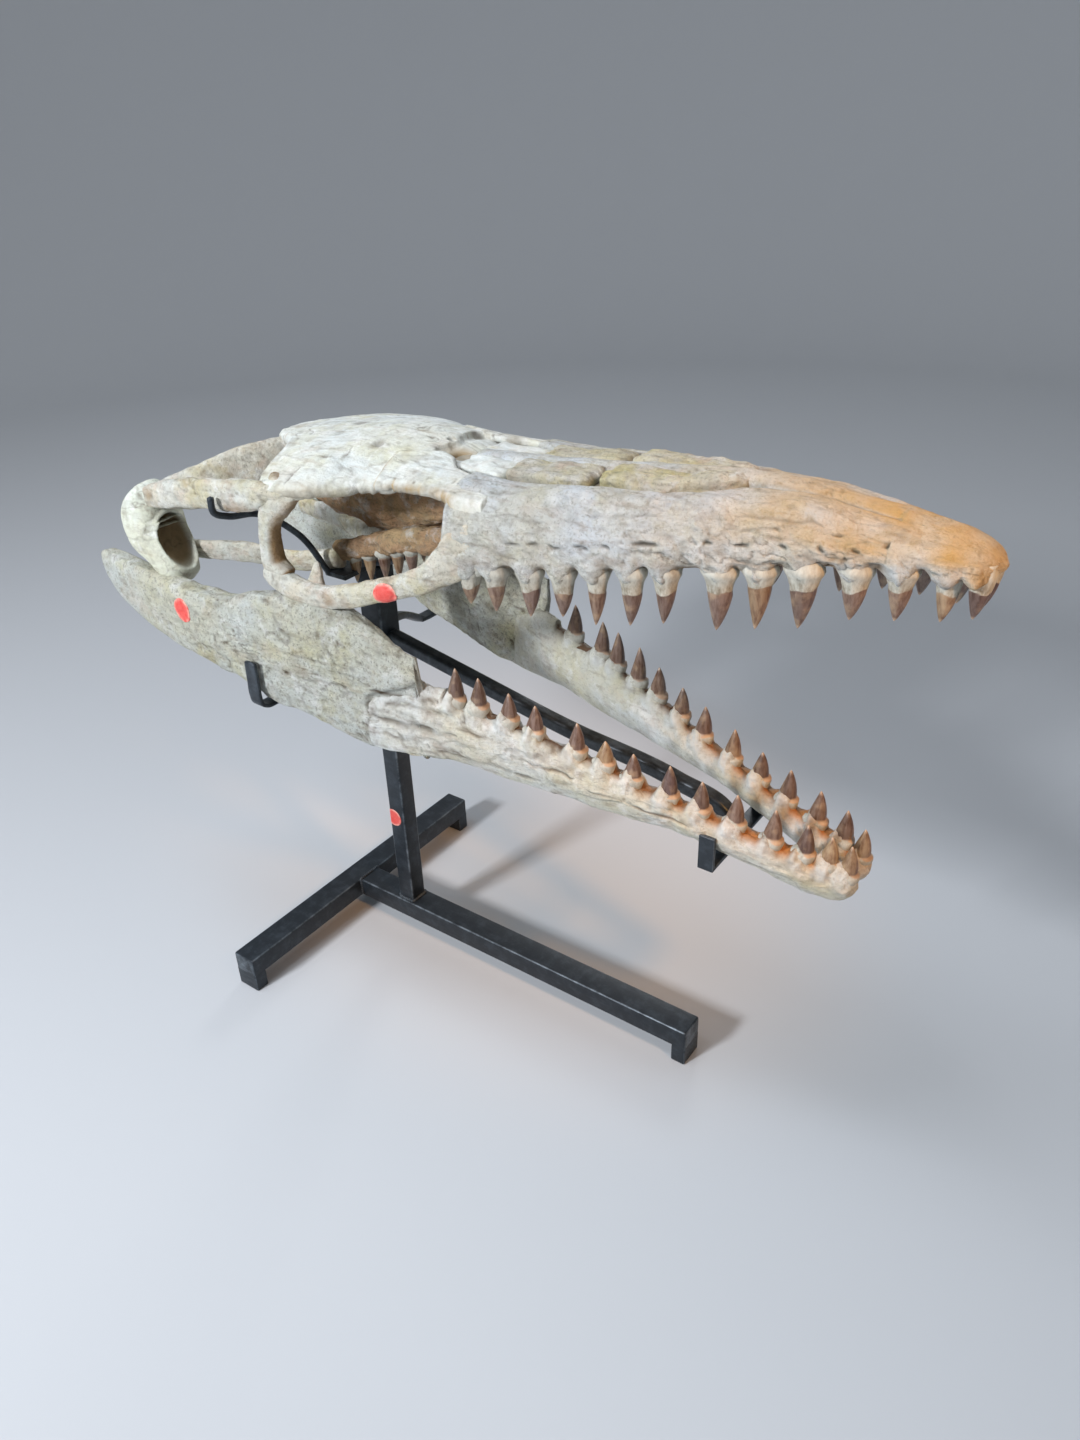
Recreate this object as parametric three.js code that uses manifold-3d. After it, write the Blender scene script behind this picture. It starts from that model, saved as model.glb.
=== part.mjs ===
import * as THREE from 'three';
import { ParametricGeometry } from 'three/addons/geometries/ParametricGeometry.js';
import { mergeVertices } from 'three/addons/utils/BufferGeometryUtils.js';
import Module from 'manifold-3d';

// A fossil mosasaur skull held with open jaws on a welded steel stand.
// Millimetres. X runs from the jaw joints to the snout, Y to the animal's left, Z up from the floor.

// Whole object
const rearJawTipX = -442;
const snoutTipX = 442;
const clearance = 0.3;

// Upper jaw and snout: half width, height of the gum line, height of the top on the midline
const snoutHalfWidth = [[20, 99], [34, 98], [158, 78], [278, 57], [358, 42], [400, 33], [425, 26], [438, 15], [442, 6]];
const gumHeight = [[20, 535], [117, 547], [224, 565], [311, 580], [370, 588], [420, 590], [442, 593]];
const topHeight = [[-20, 613], [50, 617], [117, 622], [173, 627], [245, 635], [304, 635], [371, 627], [410, 620], [430, 612], [442, 603]];
const narisRimHeight = [[20, 610], [80, 612], [121, 616], [158, 619], [209, 621], [248, 628], [304, 630], [392, 619]];
const narisRimHalfGap = [[20, 42], [60, 48], [120, 47], [200, 40], [240, 26], [264, 13], [392, 13]];
const narisFloorDepth = 15;
const snoutSutureX = 384;
const maxillaRearX = 30;
const palateVault = 20;
const nasalBarHalfWidth = 11.5;
const nasalBarRearX = -6;

// Teeth, with the places along the jaw from rear to front
const upperToothX = [43, 67, 99, 128, 157, 186, 213, 255, 284, 315, 350, 380];
const upperToothLength = [30, 36, 39, 38, 45, 45, 43, 48, 47, 46, 38, 37];
const snoutToothX = [411, 431];
const snoutToothLength = [35, 33];
const lowerToothX = {
  right: [17, 39, 68, 93, 132, 158, 183, 215, 243, 273, 305, 332, 352, 368],
  left: [32, 69, 89, 116, 141, 170, 197, 231, 262, 292, 323, 350, 368]
};
const lowerToothLength = {
  right: [30, 28, 24, 24, 26, 20, 23, 28, 26, 28, 29, 27, 25, 28],
  left: [32, 33, 34, 35, 29, 28, 29, 28, 26, 29, 29, 29, 27]
};
const palateToothX = [-152, -132, -112, -94, -76];
const palateToothLength = 27;
const toothRadius = 10.5;
const toothSides = 6;
const toothRootDepth = 9;

// Skull roof: height on the midline and half width of each plate
const roofHeight = [[-250, 600], [-191, 612], [-144, 618], [-100, 622], [-60, 623], [-17, 620], [60, 607]];
const roofEdgeHeight = [[-250, 577], [-190, 584], [-150, 587], [-115, 590], [-70, 594], [-35, 597], [7, 600], [60, 600]];
const roofEdge = [[-190, 119], [-150, 119], [-115, 112], [-96, 99], [-70, 84], [-35, 79], [7, 80], [30, 90], [62, 84]];
const frontalHalfWidth = [[-150, 76], [-110, 68], [-60, 48], [-8, 24]];
const parietalHalfWidth = [[-246, 20], [-225, 32], [-186, 60], [-150, 76], [-110, 68], [-60, 48]];
const plateLap = 4;
const roofThickness = 15;
const frontalRearX = -150;
const frontalFrontX = -8;
const prefrontalRearX = -62;
const prefrontalFrontX = 62;
const parietalRearX = -246;
const postfrontalRearX = -186;

// Lower jaw: middle of its thickness, half thickness, lower and upper edge
const jawMiddleY = [[-442, 117], [-342, 124], [-262, 126], [-202, 123], [-160, 118], [-92, 108], [-16, 94], [56, 78],
  [130, 64], [269, 35], [323, 24], [368, 14.5], [379, 13.5]];
const jawHalfThickness = [[-442, 7], [-400, 12], [-262, 16], [-160, 15], [-16, 14], [130, 14], [269, 14], [323, 13.5],
  [366, 12.5], [379, 7]];
const jawLowerEdge = [[-442, 455], [-433, 437], [-416, 423], [-375, 408], [-326, 395], [-262, 387], [-217, 381],
  [-190, 366], [-159, 361], [-114, 350], [-68, 341], [13, 341], [58, 334], [117, 328], [228, 318], [281, 304],
  [332, 287], [364, 284], [374, 291], [379, 300]];
const jawUpperEdge = [[-442, 468], [-433, 474], [-396, 473], [-335, 468], [-228, 467], [-205, 478], [-148, 487],
  [-95, 483], [-50, 467], [-16.5, 450]];
const dentaryUpperEdge = [[-16, 420], [3, 415], [61, 405], [128, 386], [155, 380], [191, 365], [226, 356],
  [295, 338], [353, 325], [370, 317], [379, 307]];
const jawSeamX = -16;

// Welded stand
const baseTubeWidth = 30;
const baseTubeHeight = 24.5;
const baseTopHeight = 45;
const crossbarX = -242;
const crossbarHalfLength = 191;
const longBarFrontX = 228;
const weldLap = 2;
const footLength = 16;
const postX = -155;
const postWidth = 22;
const postHeadWidth = 28;
const postHeadBottom = 330;
const postHeadTop = 474;
const strapThickness = 4;
const hookX = -200;
const hookWidth = 13;
const hookFloorHeight = 358;
const hookTopHeight = 415;
const frontClipX = 258;
const frontClipHalfWidth = 51;
const frontClipFloorHeight = 300;
const frontClipTopHeight = 338;
const rearRodRadius = 3.2;

// Colours
const boneMaterial = new THREE.MeshStandardMaterial({ color: 0xdcd9cc, roughness: 0.85 });
const matrixMaterial = new THREE.MeshStandardMaterial({ color: 0xc9bd9c, roughness: 0.9 });
const steelMaterial = new THREE.MeshStandardMaterial({ color: 0x2a3138, roughness: 0.5, metalness: 0.4 });

const wasm = await Module();
wasm.setup();

// Value at x on a run of [x, value] pairs
const at = (pairs, x) => {
  const last = pairs[pairs.length - 1];
  if (x <= pairs[0][0]) return pairs[0][1];
  if (x >= last[0]) return last[1];
  const i = pairs.findIndex((pair) => pair[0] >= x);
  const t = (x - pairs[i - 1][0]) / (pairs[i][0] - pairs[i - 1][0]);
  return THREE.MathUtils.lerp(pairs[i - 1][1], pairs[i][1], t);
};

let seed = 7;
const random = () => {
  seed = (seed * 16807) % 2147483647;
  return seed / 2147483647;
};

// Closed body from any geometry, facing out
const solid = (source) => {
  const plain = source.clone();
  plain.deleteAttribute('normal');
  plain.deleteAttribute('uv');
  const merged = mergeVertices(plain, 1e-3);
  const index = merged.index.array;
  const kept = [];
  for (let i = 0; i < index.length; i += 3) {
    const [a, b, c] = [index[i], index[i + 1], index[i + 2]];
    if (a !== b && b !== c && a !== c) kept.push(a, b, c);
  }
  const points = merged.attributes.position.array;
  const build = (triangles) => new wasm.Manifold(new wasm.Mesh({
    numProp: 3,
    vertProperties: new Float32Array(points),
    triVerts: new Uint32Array(triangles)
  }));
  const body = build(kept);
  if (body.volume() > 0) return body;
  const flipped = [];
  for (let i = 0; i < kept.length; i += 3) flipped.push(kept[i], kept[i + 2], kept[i + 1]);
  return build(flipped);
};

// Body through a run of closed rings, brought to a point at each end
const shell = (rings, firstPoint, lastPoint) => {
  const middle = (ring) => ring.reduce((sum, p) => sum.add(p), new THREE.Vector3()).divideScalar(ring.length);
  const rows = [
    [firstPoint || middle(rings[0])],
    ...rings,
    [lastPoint || middle(rings[rings.length - 1])]
  ];
  const sides = rings[0].length;
  const surface = (u, v, target) => {
    const row = rows[Math.round(v * (rows.length - 1))];
    target.copy(row[Math.round(u * sides) % row.length]);
  };
  return solid(new ParametricGeometry(surface, sides, rows.length - 1));
};

// Ring in the YZ plane pushed outward by the grow distance
const grown = (ring, grow) => {
  const count = ring.length;
  const area = ring.reduce((sum, p, i) => {
    const q = ring[(i + 1) % count];
    return sum + p[0] * q[1] - q[0] * p[1];
  }, 0);
  const sign = Math.sign(area);
  const outward = (p, q) => {
    const length = Math.hypot(q[0] - p[0], q[1] - p[1]);
    return [sign * (q[1] - p[1]) / length, sign * (p[0] - q[0]) / length];
  };
  return ring.map((p, i) => {
    const n = outward(ring[(i + count - 1) % count], p);
    const m = outward(p, ring[(i + 1) % count]);
    const spread = Math.max(1 + n[0] * m[0] + n[1] * m[1], 0.4);
    return [p[0] + grow * (n[0] + m[0]) / spread, p[1] + grow * (n[1] + m[1]) / spread];
  });
};

// Body with one YZ ring at each x
const loft = (fromX, toX, steps, ringAt, grow) => {
  const rings = [];
  for (let i = 0; i <= steps; i += 1) {
    const x = THREE.MathUtils.lerp(fromX, toX, i / steps);
    const push = i === 0 ? -grow : i === steps ? grow : 0;
    rings.push(grown(ringAt(x), grow).map((p) => new THREE.Vector3(x + push * Math.sign(toX - fromX), p[0], p[1])));
  }
  return shell(rings);
};

// Flattened round of a given power: 2 is an ellipse, 4 is nearly a box
const roundRing = (y, z, halfY, halfZ, power, sides) => {
  const ring = [];
  for (let i = 0; i < sides; i += 1) {
    const a = 2 * Math.PI * (i + 0.5) / sides;
    const c = Math.cos(a);
    const s = Math.sin(a);
    ring.push([
      y + halfY * Math.sign(c) * Math.abs(c) ** (2 / power),
      z + halfZ * Math.sign(s) * Math.abs(s) ** (2 / power)
    ]);
  }
  return ring;
};

// Bar along a smooth path through [x, y, z, half across, half up] stations
const bar = (stations, grow, { sides = 8, power = 2.4, steps = 3, up = [0, 0, 1] } = {}) => {
  const path = new THREE.CatmullRomCurve3(stations.map((s) => new THREE.Vector3(s[0], s[1], s[2])));
  const size = new THREE.CatmullRomCurve3(stations.map((s) => new THREE.Vector3(s[3], s[4], 0)));
  const rows = (stations.length - 1) * steps;
  const rings = [];
  for (let i = 0; i <= rows; i += 1) {
    const t = i / rows;
    const tangent = path.getTangent(t);
    const centre = path.getPoint(t);
    if (i === 0) centre.addScaledVector(tangent, -grow);
    if (i === rows) centre.addScaledVector(tangent, grow);
    const across = new THREE.Vector3().crossVectors(new THREE.Vector3(...up), tangent).normalize();
    const over = new THREE.Vector3().crossVectors(tangent, across);
    const half = size.getPoint(t);
    rings.push(roundRing(0, 0, half.x + grow, half.y + grow, power, sides).map((p) =>
      centre.clone().addScaledVector(across, p[0]).addScaledVector(over, p[1])));
  }
  return shell(rings);
};

const box = (x0, x1, y0, y1, z0, z1, grow) => {
  const geometry = new THREE.BoxGeometry(x1 - x0 + 2 * grow, y1 - y0 + 2 * grow, z1 - z0 + 2 * grow);
  geometry.translate((x0 + x1) / 2, (y0 + y1) / 2, (z0 + z1) / 2);
  return solid(geometry);
};

// Square tube or post with its long edges rounded
const roundedPost = (x, y, width, bottom, top, radius, grow) => {
  const half = width / 2 + grow;
  const outline = new THREE.Shape();
  outline.moveTo(-half + radius, -half);
  outline.lineTo(half - radius, -half);
  outline.absarc(half - radius, -half + radius, radius, -Math.PI / 2, 0);
  outline.absarc(half - radius, half - radius, radius, 0, Math.PI / 2);
  outline.absarc(-half + radius, half - radius, radius, Math.PI / 2, Math.PI);
  outline.absarc(-half + radius, -half + radius, radius, Math.PI, Math.PI * 1.5);
  const geometry = new THREE.ExtrudeGeometry(outline, {
    depth: top - bottom + 2 * grow,
    bevelEnabled: false,
    curveSegments: 3
  });
  geometry.translate(x, y, bottom - grow);
  return solid(geometry);
};

const join = (bodies) => bodies.reduce((sum, body) => sum.add(body));

const largest = (body) => body.decompose().reduce((best, part) => (part.volume() > best.volume() ? part : best));

// Tooth with a swollen root, a crown leaning back, and its root sunk in the bone
const tooth = (x, y, edge, length, direction, radius) => {
  const profile = [[-toothRootDepth, 0.85, 0], [1, 1, 0], [9, 0.74, 0], [0.62 * length + 2, 0.5, -1.5]];
  const rings = profile.map(([depth, swell, lean]) => {
    const ring = [];
    for (let i = 0; i < toothSides; i += 1) {
      const a = 2 * Math.PI * i / toothSides;
      ring.push(new THREE.Vector3(
        x + lean + radius * swell * Math.cos(a),
        y + 0.85 * radius * swell * Math.sin(a),
        edge + direction * depth
      ));
    }
    return ring;
  });
  return shell(rings, null, new THREE.Vector3(x - 4, y, edge + direction * length));
};

const toothRow = (places, lengths, rowY, edgeAt, direction, scale) => places.map((x, i) => {
  const radius = toothRadius * scale * (0.94 + 0.12 * random());
  const length = Array.isArray(lengths) ? lengths[i] : lengths;
  return tooth(x, rowY(x), edgeAt(x), length, direction, radius);
});

// Pieces in order: each later one is cut back from the earlier ones by the clearance
const pieces = [];
const piece = (name, material, make) => pieces.push({ name, material, make });
const sides = [['right', -1], ['left', 1]];

// Lower jaw bones
const jawHalf = (side, fromX, toX, steps, upperEdge, grow) => loft(fromX, toX, steps, (x) => {
  const low = at(jawLowerEdge, x);
  const high = at(upperEdge, x);
  return roundRing(side * at(jawMiddleY, x), (low + high) / 2, at(jawHalfThickness, x), (high - low) / 2, 3, 10);
}, grow);

for (const [label, side] of sides) {
  piece(`postdentary_${label}`, boneMaterial, (grow) =>
    jawHalf(side, rearJawTipX, jawSeamX, 17, jawUpperEdge, grow));
}

for (const [label, side] of sides) {
  const teeth = toothRow(lowerToothX[label], lowerToothLength[label],
    (x) => side * at(jawMiddleY, x), (x) => at(dentaryUpperEdge, x) - 1, 1, 0.9);
  piece(`dentary_${label}`, boneMaterial, (grow) =>
    join([jawHalf(side, jawSeamX - plateLap, 378.5, 15, dentaryUpperEdge, grow), ...teeth]));
}

for (const [label, side] of sides) {
  piece(`coronoid_${label}`, boneMaterial, (grow) => bar([
    [-128, side * 106, 482, 6, 22],
    [-124, side * 105, 500, 5, 9],
    [-121, side * 104, 517, 2.5, 3]
  ], grow, { sides: 8, up: [1, 0, 0], steps: 2 }));
}

// Snout bone with its four teeth and the long bar that runs back between the nostrils
const snoutRing = (x) => {
  const w = at(snoutHalfWidth, x);
  const g = at(gumHeight, x);
  const t = at(topHeight, x);
  return [[-0.45 * w, g + 8], [-0.85 * w, g], [-w, g + 6], [-w + 1, g + 0.5 * (t - g)], [-0.7 * w, g + 0.8 * (t - g)],
    [-0.3 * w, t - 1], [0.3 * w, t - 1], [0.7 * w, g + 0.8 * (t - g)], [w - 1, g + 0.5 * (t - g)], [w, g + 6],
    [0.85 * w, g], [0.45 * w, g + 8]];
};

const snoutTeeth = sides.flatMap(([, side]) => toothRow(snoutToothX, snoutToothLength,
  (x) => side * (at(snoutHalfWidth, x) - 9), (x) => at(gumHeight, x) + 1, -1, 0.85));

piece('premaxilla', boneMaterial, (grow) => join([
  loft(snoutSutureX, snoutTipX, 8, snoutRing, grow),
  loft(nasalBarRearX, snoutSutureX + 6, 14, (x) => {
    const t = at(topHeight, x);
    const low = at(narisRimHeight, x) - narisFloorDepth - 3;
    return roundRing(0, (t + low) / 2, nasalBarHalfWidth, (t - low) / 2, 2.6, 10);
  }, grow),
  ...snoutTeeth
]));

// Roof plates follow one dome that falls towards the orbits
const roofAt = (x, y) => {
  const fall = at(roofHeight, x) - at(roofEdgeHeight, x);
  return at(roofHeight, x) - fall * (Math.abs(y) / at(roofEdge, x)) ** 2;
};

const roofPlate = (fromX, toX, steps, innerY, outerY, thickness, grow) => loft(fromX, toX, steps, (x) => {
  const top = [];
  const under = [];
  const count = 5;
  for (let i = 0; i < count; i += 1) {
    const y = THREE.MathUtils.lerp(innerY(x), outerY(x), i / (count - 1));
    top.push([y, roofAt(x, y)]);
    under.unshift([y, roofAt(x, y) - thickness(x)]);
  }
  return [...top, ...under];
}, grow);

piece('frontal', boneMaterial, (grow) => roofPlate(frontalRearX, frontalFrontX, 7,
  (x) => -at(frontalHalfWidth, x), (x) => at(frontalHalfWidth, x), () => roofThickness, grow));

for (const [label, side] of sides) {
  piece(`prefrontal_${label}`, boneMaterial, (grow) => roofPlate(prefrontalRearX, prefrontalFrontX, 6,
    (x) => side * (at(frontalHalfWidth, x) - plateLap), (x) => side * at(roofEdge, x),
    (x) => at([[-62, 14], [16, 16], [36, 42], [62, 36]], x), grow));
}

for (const [label, side] of sides) {
  piece(`postfrontal_${label}`, boneMaterial, (grow) => roofPlate(postfrontalRearX, prefrontalRearX + plateLap, 6,
    (x) => side * (at(parietalHalfWidth, x) - plateLap),
    (x) => side * at(roofEdge, x), () => 13, grow));
}

piece('parietal', boneMaterial, (grow) => roofPlate(parietalRearX, frontalRearX + plateLap, 5,
  (x) => -at(parietalHalfWidth, x), (x) => at(parietalHalfWidth, x), () => 17, grow));

// Upper jaw bones, each solid to the midline under the nostril floor, with twelve teeth
const maxillaRing = (x, side) => {
  const w = at(snoutHalfWidth, x);
  const g = at(gumHeight, x);
  const rim = at(narisRimHeight, x);
  const gap = at(narisRimHalfGap, x);
  const floor = rim - narisFloorDepth;
  return [[0.15, g + palateVault], [0.5 * w, g + palateVault - 3], [w - 24, g + 5], [w - 19, g], [w - 5, g],
    [w, g + 9], [w - 2, g + 0.45 * (rim - g)], [w - 9, g + 0.75 * (rim - g)], [(w + gap) / 2, rim - 3],
    [gap + 2, rim], [gap, rim - 3], [gap - 2, floor], [0.15, floor]].map((p) => [side * p[0], p[1]]);
};

for (const [label, side] of sides) {
  const teeth = toothRow(upperToothX, upperToothLength,
    (x) => side * (at(snoutHalfWidth, x) - 9), (x) => at(gumHeight, x) + 1, -1, 1);
  piece(`maxilla_${label}`, boneMaterial, (grow) =>
    join([loft(maxillaRearX, snoutSutureX + plateLap, 16, (x) => maxillaRing(x, side), grow), ...teeth]));
}

// Matrix left in the nostril openings
for (const [label, side] of sides) {
  piece(`naris_fill_${label}`, matrixMaterial, (grow) => loft(2, 250, 10, (x) => {
    const gap = at(narisRimHalfGap, x) + 1;
    const rim = at(narisRimHeight, x);
    const floor = rim - narisFloorDepth - 1;
    return [[side * 4, floor], [side * gap, floor], [side * gap, rim - 4], [side * 0.6 * gap, rim + 1], [side * 4, rim]];
  }, grow));
}

// Cheek: jugal under the orbit, upright bar behind it, arch over the rear window
for (const [label, side] of sides) {
  piece(`jugal_${label}`, boneMaterial, (grow) => bar([
    [34, side * 92, 549, 7, 8],
    [8, side * 99, 536, 8, 11],
    [-30, side * 105, 513, 8, 11],
    [-70, side * 110, 498, 8.5, 11],
    [-110, side * 114, 491, 9, 10.5],
    [-150, side * 115, 493, 9.5, 11],
    [-178, side * 114, 501, 8, 8]
  ], grow, { steps: 2 }));
}

for (const [label, side] of sides) {
  piece(`temporal_arch_${label}`, boneMaterial, (grow) => bar([
    [-148, side * 112, 577, 9, 10],
    [-185, side * 116, 572, 9, 14],
    [-235, side * 118, 567, 8.5, 15],
    [-290, side * 118, 558, 8.5, 14],
    [-336, side * 115, 547, 9, 12]
  ], grow, { steps: 2 }));
}

for (const [label, side] of sides) {
  piece(`postorbital_bar_${label}`, boneMaterial, (grow) => bar([
    [-168, side * 112, 576, 10, 11],
    [-170, side * 112, 545, 9.5, 10],
    [-171, side * 112, 515, 9.5, 10],
    [-170, side * 112, 500, 10, 12]
  ], grow, { steps: 2, up: [1, 0, 0] }));
}

// Rear branches from the roof to the top of each quadrate
for (const [label, side] of sides) {
  piece(`suspensorium_${label}`, boneMaterial, (grow) => bar([
    [-234, side * 16, 587, 10, 10],
    [-256, side * 44, 583, 8, 11],
    [-296, side * 80, 563, 8, 12],
    [-344, side * 106, 544, 9, 11]
  ], grow, { steps: 2 }));
}

// Ear-shaped quadrates with a hollow on the front face
for (const [label, side] of sides) {
  piece(`quadrate_${label}`, boneMaterial, (grow) => {
    const drum = bar([
      [-322, side * 106, 467, 18, 12],
      [-339, side * 105, 484, 25, 18],
      [-355, side * 104, 505, 28, 26],
      [-358, side * 104, 524, 27, 26],
      [-350, side * 106, 540, 21, 19],
      [-338, side * 108, 550, 12, 9]
    ], grow, { sides: 12, power: 2.8, steps: 2, up: [1, 0, 0] });
    const hollow = new THREE.SphereGeometry(1, 12, 8);
    hollow.scale(15 - grow, 19 - grow, 28 - grow);
    hollow.translate(-327, side * 103, 512);
    return drum.subtract(solid(hollow));
  });
}

// Palate bones: a rear branch to the quadrate and a front body with five teeth
for (const [label, side] of sides) {
  piece(`pterygoid_wing_${label}`, boneMaterial, (grow) => bar([
    [-330, side * 76, 479, 5, 10],
    [-270, side * 62, 483, 5, 11],
    [-210, side * 46, 481, 6, 11],
    [-162, side * 34, 490, 8, 11]
  ], grow, { sides: 8, steps: 2 }));
}

for (const [label, side] of sides) {
  const edge = [[-164, 486], [-120, 498], [-76, 511], [-30, 522], [36, 540]];
  const teeth = toothRow(palateToothX, palateToothLength, () => side * 28, (x) => at(edge, x) + 1, -1, 0.62);
  piece(`pterygoid_${label}`, boneMaterial, (grow) => join([bar([
    [-165, side * 34, 495, 8, 11],
    [-120, side * 28, 509, 11, 11],
    [-76, side * 27, 522, 12, 12],
    [-30, side * 28, 533, 13, 12],
    [34, side * 32, 551, 12, 11]
  ], grow, { sides: 10, steps: 2 }), ...teeth]));
}

piece('braincase', boneMaterial, (grow) => bar([
  [-232, 0, 572, 16, 22],
  [-190, 0, 560, 25, 38],
  [-140, 0, 562, 28, 46],
  [-80, 0, 572, 24, 46],
  [-30, 0, 584, 18, 36]
], grow, { sides: 12, steps: 2 }));

// Base of the stand
const tubeBottom = baseTopHeight - baseTubeHeight;
const halfTube = baseTubeWidth / 2;
piece('stand_crossbar', steelMaterial, (grow) => box(crossbarX - halfTube, crossbarX + halfTube,
  -crossbarHalfLength, crossbarHalfLength, tubeBottom, baseTopHeight, grow));
piece('stand_long_bar', steelMaterial, (grow) => box(crossbarX + halfTube - weldLap, longBarFrontX,
  -halfTube, halfTube, tubeBottom, baseTopHeight, grow));
for (const [label, side] of sides) {
  const inner = side * (crossbarHalfLength - footLength);
  const outer = side * crossbarHalfLength;
  piece(`stand_foot_rear_${label}`, steelMaterial, (grow) => box(crossbarX - halfTube, crossbarX + halfTube,
    Math.min(inner, outer), Math.max(inner, outer), 0, tubeBottom + weldLap, grow));
}
piece('stand_foot_front', steelMaterial, (grow) => box(longBarFrontX - footLength, longBarFrontX,
  -halfTube, halfTube, 0, tubeBottom + weldLap, grow));

// Post with a wider head
piece('stand_post', steelMaterial, (grow) => roundedPost(postX, 0, postWidth, baseTopHeight - weldLap,
  postHeadBottom, 3, grow));
piece('stand_post_head', steelMaterial, (grow) => roundedPost(postX, 0, postHeadWidth, postHeadBottom - weldLap,
  postHeadTop, 4, grow));

// Cross bar and strut under the palate
piece('stand_palate_bar', steelMaterial, (grow) => box(-176, -148, -48, 48, postHeadTop - weldLap,
  postHeadTop + strapThickness, grow));
piece('stand_palate_strut', steelMaterial, (grow) => bar([
  [-147, 0, 478, 12, 3],
  [-110, 0, 490, 12, 3],
  [-72, 0, 516, 12, 3]
], grow, { sides: 8, power: 4, steps: 2 }));

// Arms and upturned hooks that carry the lower jaw
for (const [label, side] of sides) {
  piece(`stand_arm_${label}`, steelMaterial, (grow) => bar([
    [-160, side * 14.5, 402, 6, 4],
    [-180, side * 60, 386, 6, 4],
    [-198, side * 98, 364, 6, 4]
  ], grow, { sides: 8, power: 4, steps: 2 }));
}

for (const [label, side] of sides) {
  const span = (near, far) => [Math.min(side * near, side * far), Math.max(side * near, side * far)];
  const [floorIn, floorOut] = span(100, 143);
  const [wallIn, wallOut] = span(139, 143);
  piece(`stand_jaw_hook_floor_${label}`, steelMaterial, (grow) => box(hookX - hookWidth / 2, hookX + hookWidth / 2,
    floorIn, floorOut, hookFloorHeight, hookFloorHeight + strapThickness, grow));
  piece(`stand_jaw_hook_wall_${label}`, steelMaterial, (grow) => box(hookX - hookWidth / 2, hookX + hookWidth / 2,
    wallIn, wallOut, hookFloorHeight + strapThickness - weldLap, hookTopHeight, grow));
}

// Rod between the jaw halves and the clip that holds their front
piece('stand_jaw_rod', steelMaterial, (grow) => bar([
  [-140.5, 0, 396, 7, 7],
  [-53, 0, 379, 7, 7],
  [81, 0, 354, 7, 7],
  [200, 0, 338, 7, 7],
  [250, 0, 322, 7, 7],
  [262, 0, 305, 6, 6]
], grow, { sides: 8, power: 3, steps: 2 }));
piece('stand_front_clip', steelMaterial, (grow) => box(frontClipX - 6, frontClipX + 6, -frontClipHalfWidth,
  frontClipHalfWidth, frontClipFloorHeight - strapThickness, frontClipFloorHeight, grow));
for (const [label, side] of sides) {
  const inner = side * (frontClipHalfWidth - strapThickness);
  const outer = side * frontClipHalfWidth;
  piece(`stand_front_clip_tab_${label}`, steelMaterial, (grow) => box(frontClipX - 6, frontClipX + 6,
    Math.min(inner, outer), Math.max(inner, outer), frontClipFloorHeight - weldLap, frontClipTopHeight, grow));
}

// Thin rods that hook round each temporal arch
for (const [label, side] of sides) {
  piece(`stand_rear_rod_${label}`, steelMaterial, (grow) => bar([
    [-172, side * 52, 476, rearRodRadius, rearRodRadius],
    [-186, side * 66, 520, rearRodRadius, rearRodRadius],
    [-206, side * 96, 546, rearRodRadius, rearRodRadius],
    [-216, side * 120, 549, rearRodRadius, rearRodRadius],
    [-218, side * 133, 556, rearRodRadius, rearRodRadius],
    [-218, side * 134, 572, rearRodRadius, rearRodRadius]
  ], grow, { sides: 6, power: 2, steps: 3, up: [1, 0, 0] }));
}

// Cut each piece back from the ones before it and hand over its mesh
const group = new THREE.Group();
const enlarged = pieces.map(({ make }) => make(clearance));
const boxes = enlarged.map((body) => body.boundingBox());
const meet = (a, b) => [0, 1, 2].every((axis) => a.min[axis] < b.max[axis] && b.min[axis] < a.max[axis]);

pieces.forEach(({ name, material, make }, i) => {
  let body = make(0);
  for (let j = 0; j < i; j += 1) {
    if (meet(boxes[i], boxes[j])) body = body.subtract(enlarged[j]);
  }
  const result = largest(body).getMesh();
  const geometry = new THREE.BufferGeometry();
  geometry.setAttribute('position', new THREE.Float32BufferAttribute(result.vertProperties, 3));
  geometry.setIndex(Array.from(result.triVerts));
  const mesh = new THREE.Mesh(geometry, material);
  mesh.name = name;
  group.add(mesh);
});

export default group;
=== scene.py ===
from math import radians, sin, cos
import bpy
import numpy as np
from mathutils import Matrix, Vector


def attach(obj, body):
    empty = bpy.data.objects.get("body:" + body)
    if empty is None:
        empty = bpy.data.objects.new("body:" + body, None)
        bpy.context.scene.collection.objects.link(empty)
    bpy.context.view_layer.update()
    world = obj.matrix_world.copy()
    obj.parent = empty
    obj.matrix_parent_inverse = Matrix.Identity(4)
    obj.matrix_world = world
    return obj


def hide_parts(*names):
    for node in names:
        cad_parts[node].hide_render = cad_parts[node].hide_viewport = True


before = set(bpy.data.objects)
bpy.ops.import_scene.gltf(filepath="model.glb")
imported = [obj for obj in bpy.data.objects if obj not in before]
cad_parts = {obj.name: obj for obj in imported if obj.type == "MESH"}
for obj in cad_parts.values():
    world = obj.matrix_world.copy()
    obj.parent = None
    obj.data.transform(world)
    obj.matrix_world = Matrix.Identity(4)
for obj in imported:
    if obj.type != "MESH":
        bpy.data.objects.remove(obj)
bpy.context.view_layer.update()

# The view. The skull is seen from its right side, a little ahead of it and from above, as a visitor
# stands by the mount. Lengths of camera and room are in metres, those of the pieces in millimetres.
view_azimuth, view_pitch, view_roll = radians(36.6), radians(30.5), radians(-2.1)
view_forward = Vector((-sin(view_azimuth) * cos(view_pitch), cos(view_azimuth) * cos(view_pitch),
                       -sin(view_pitch)))
level_right = view_forward.cross(Vector((0, 0, 1))).normalized()
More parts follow.
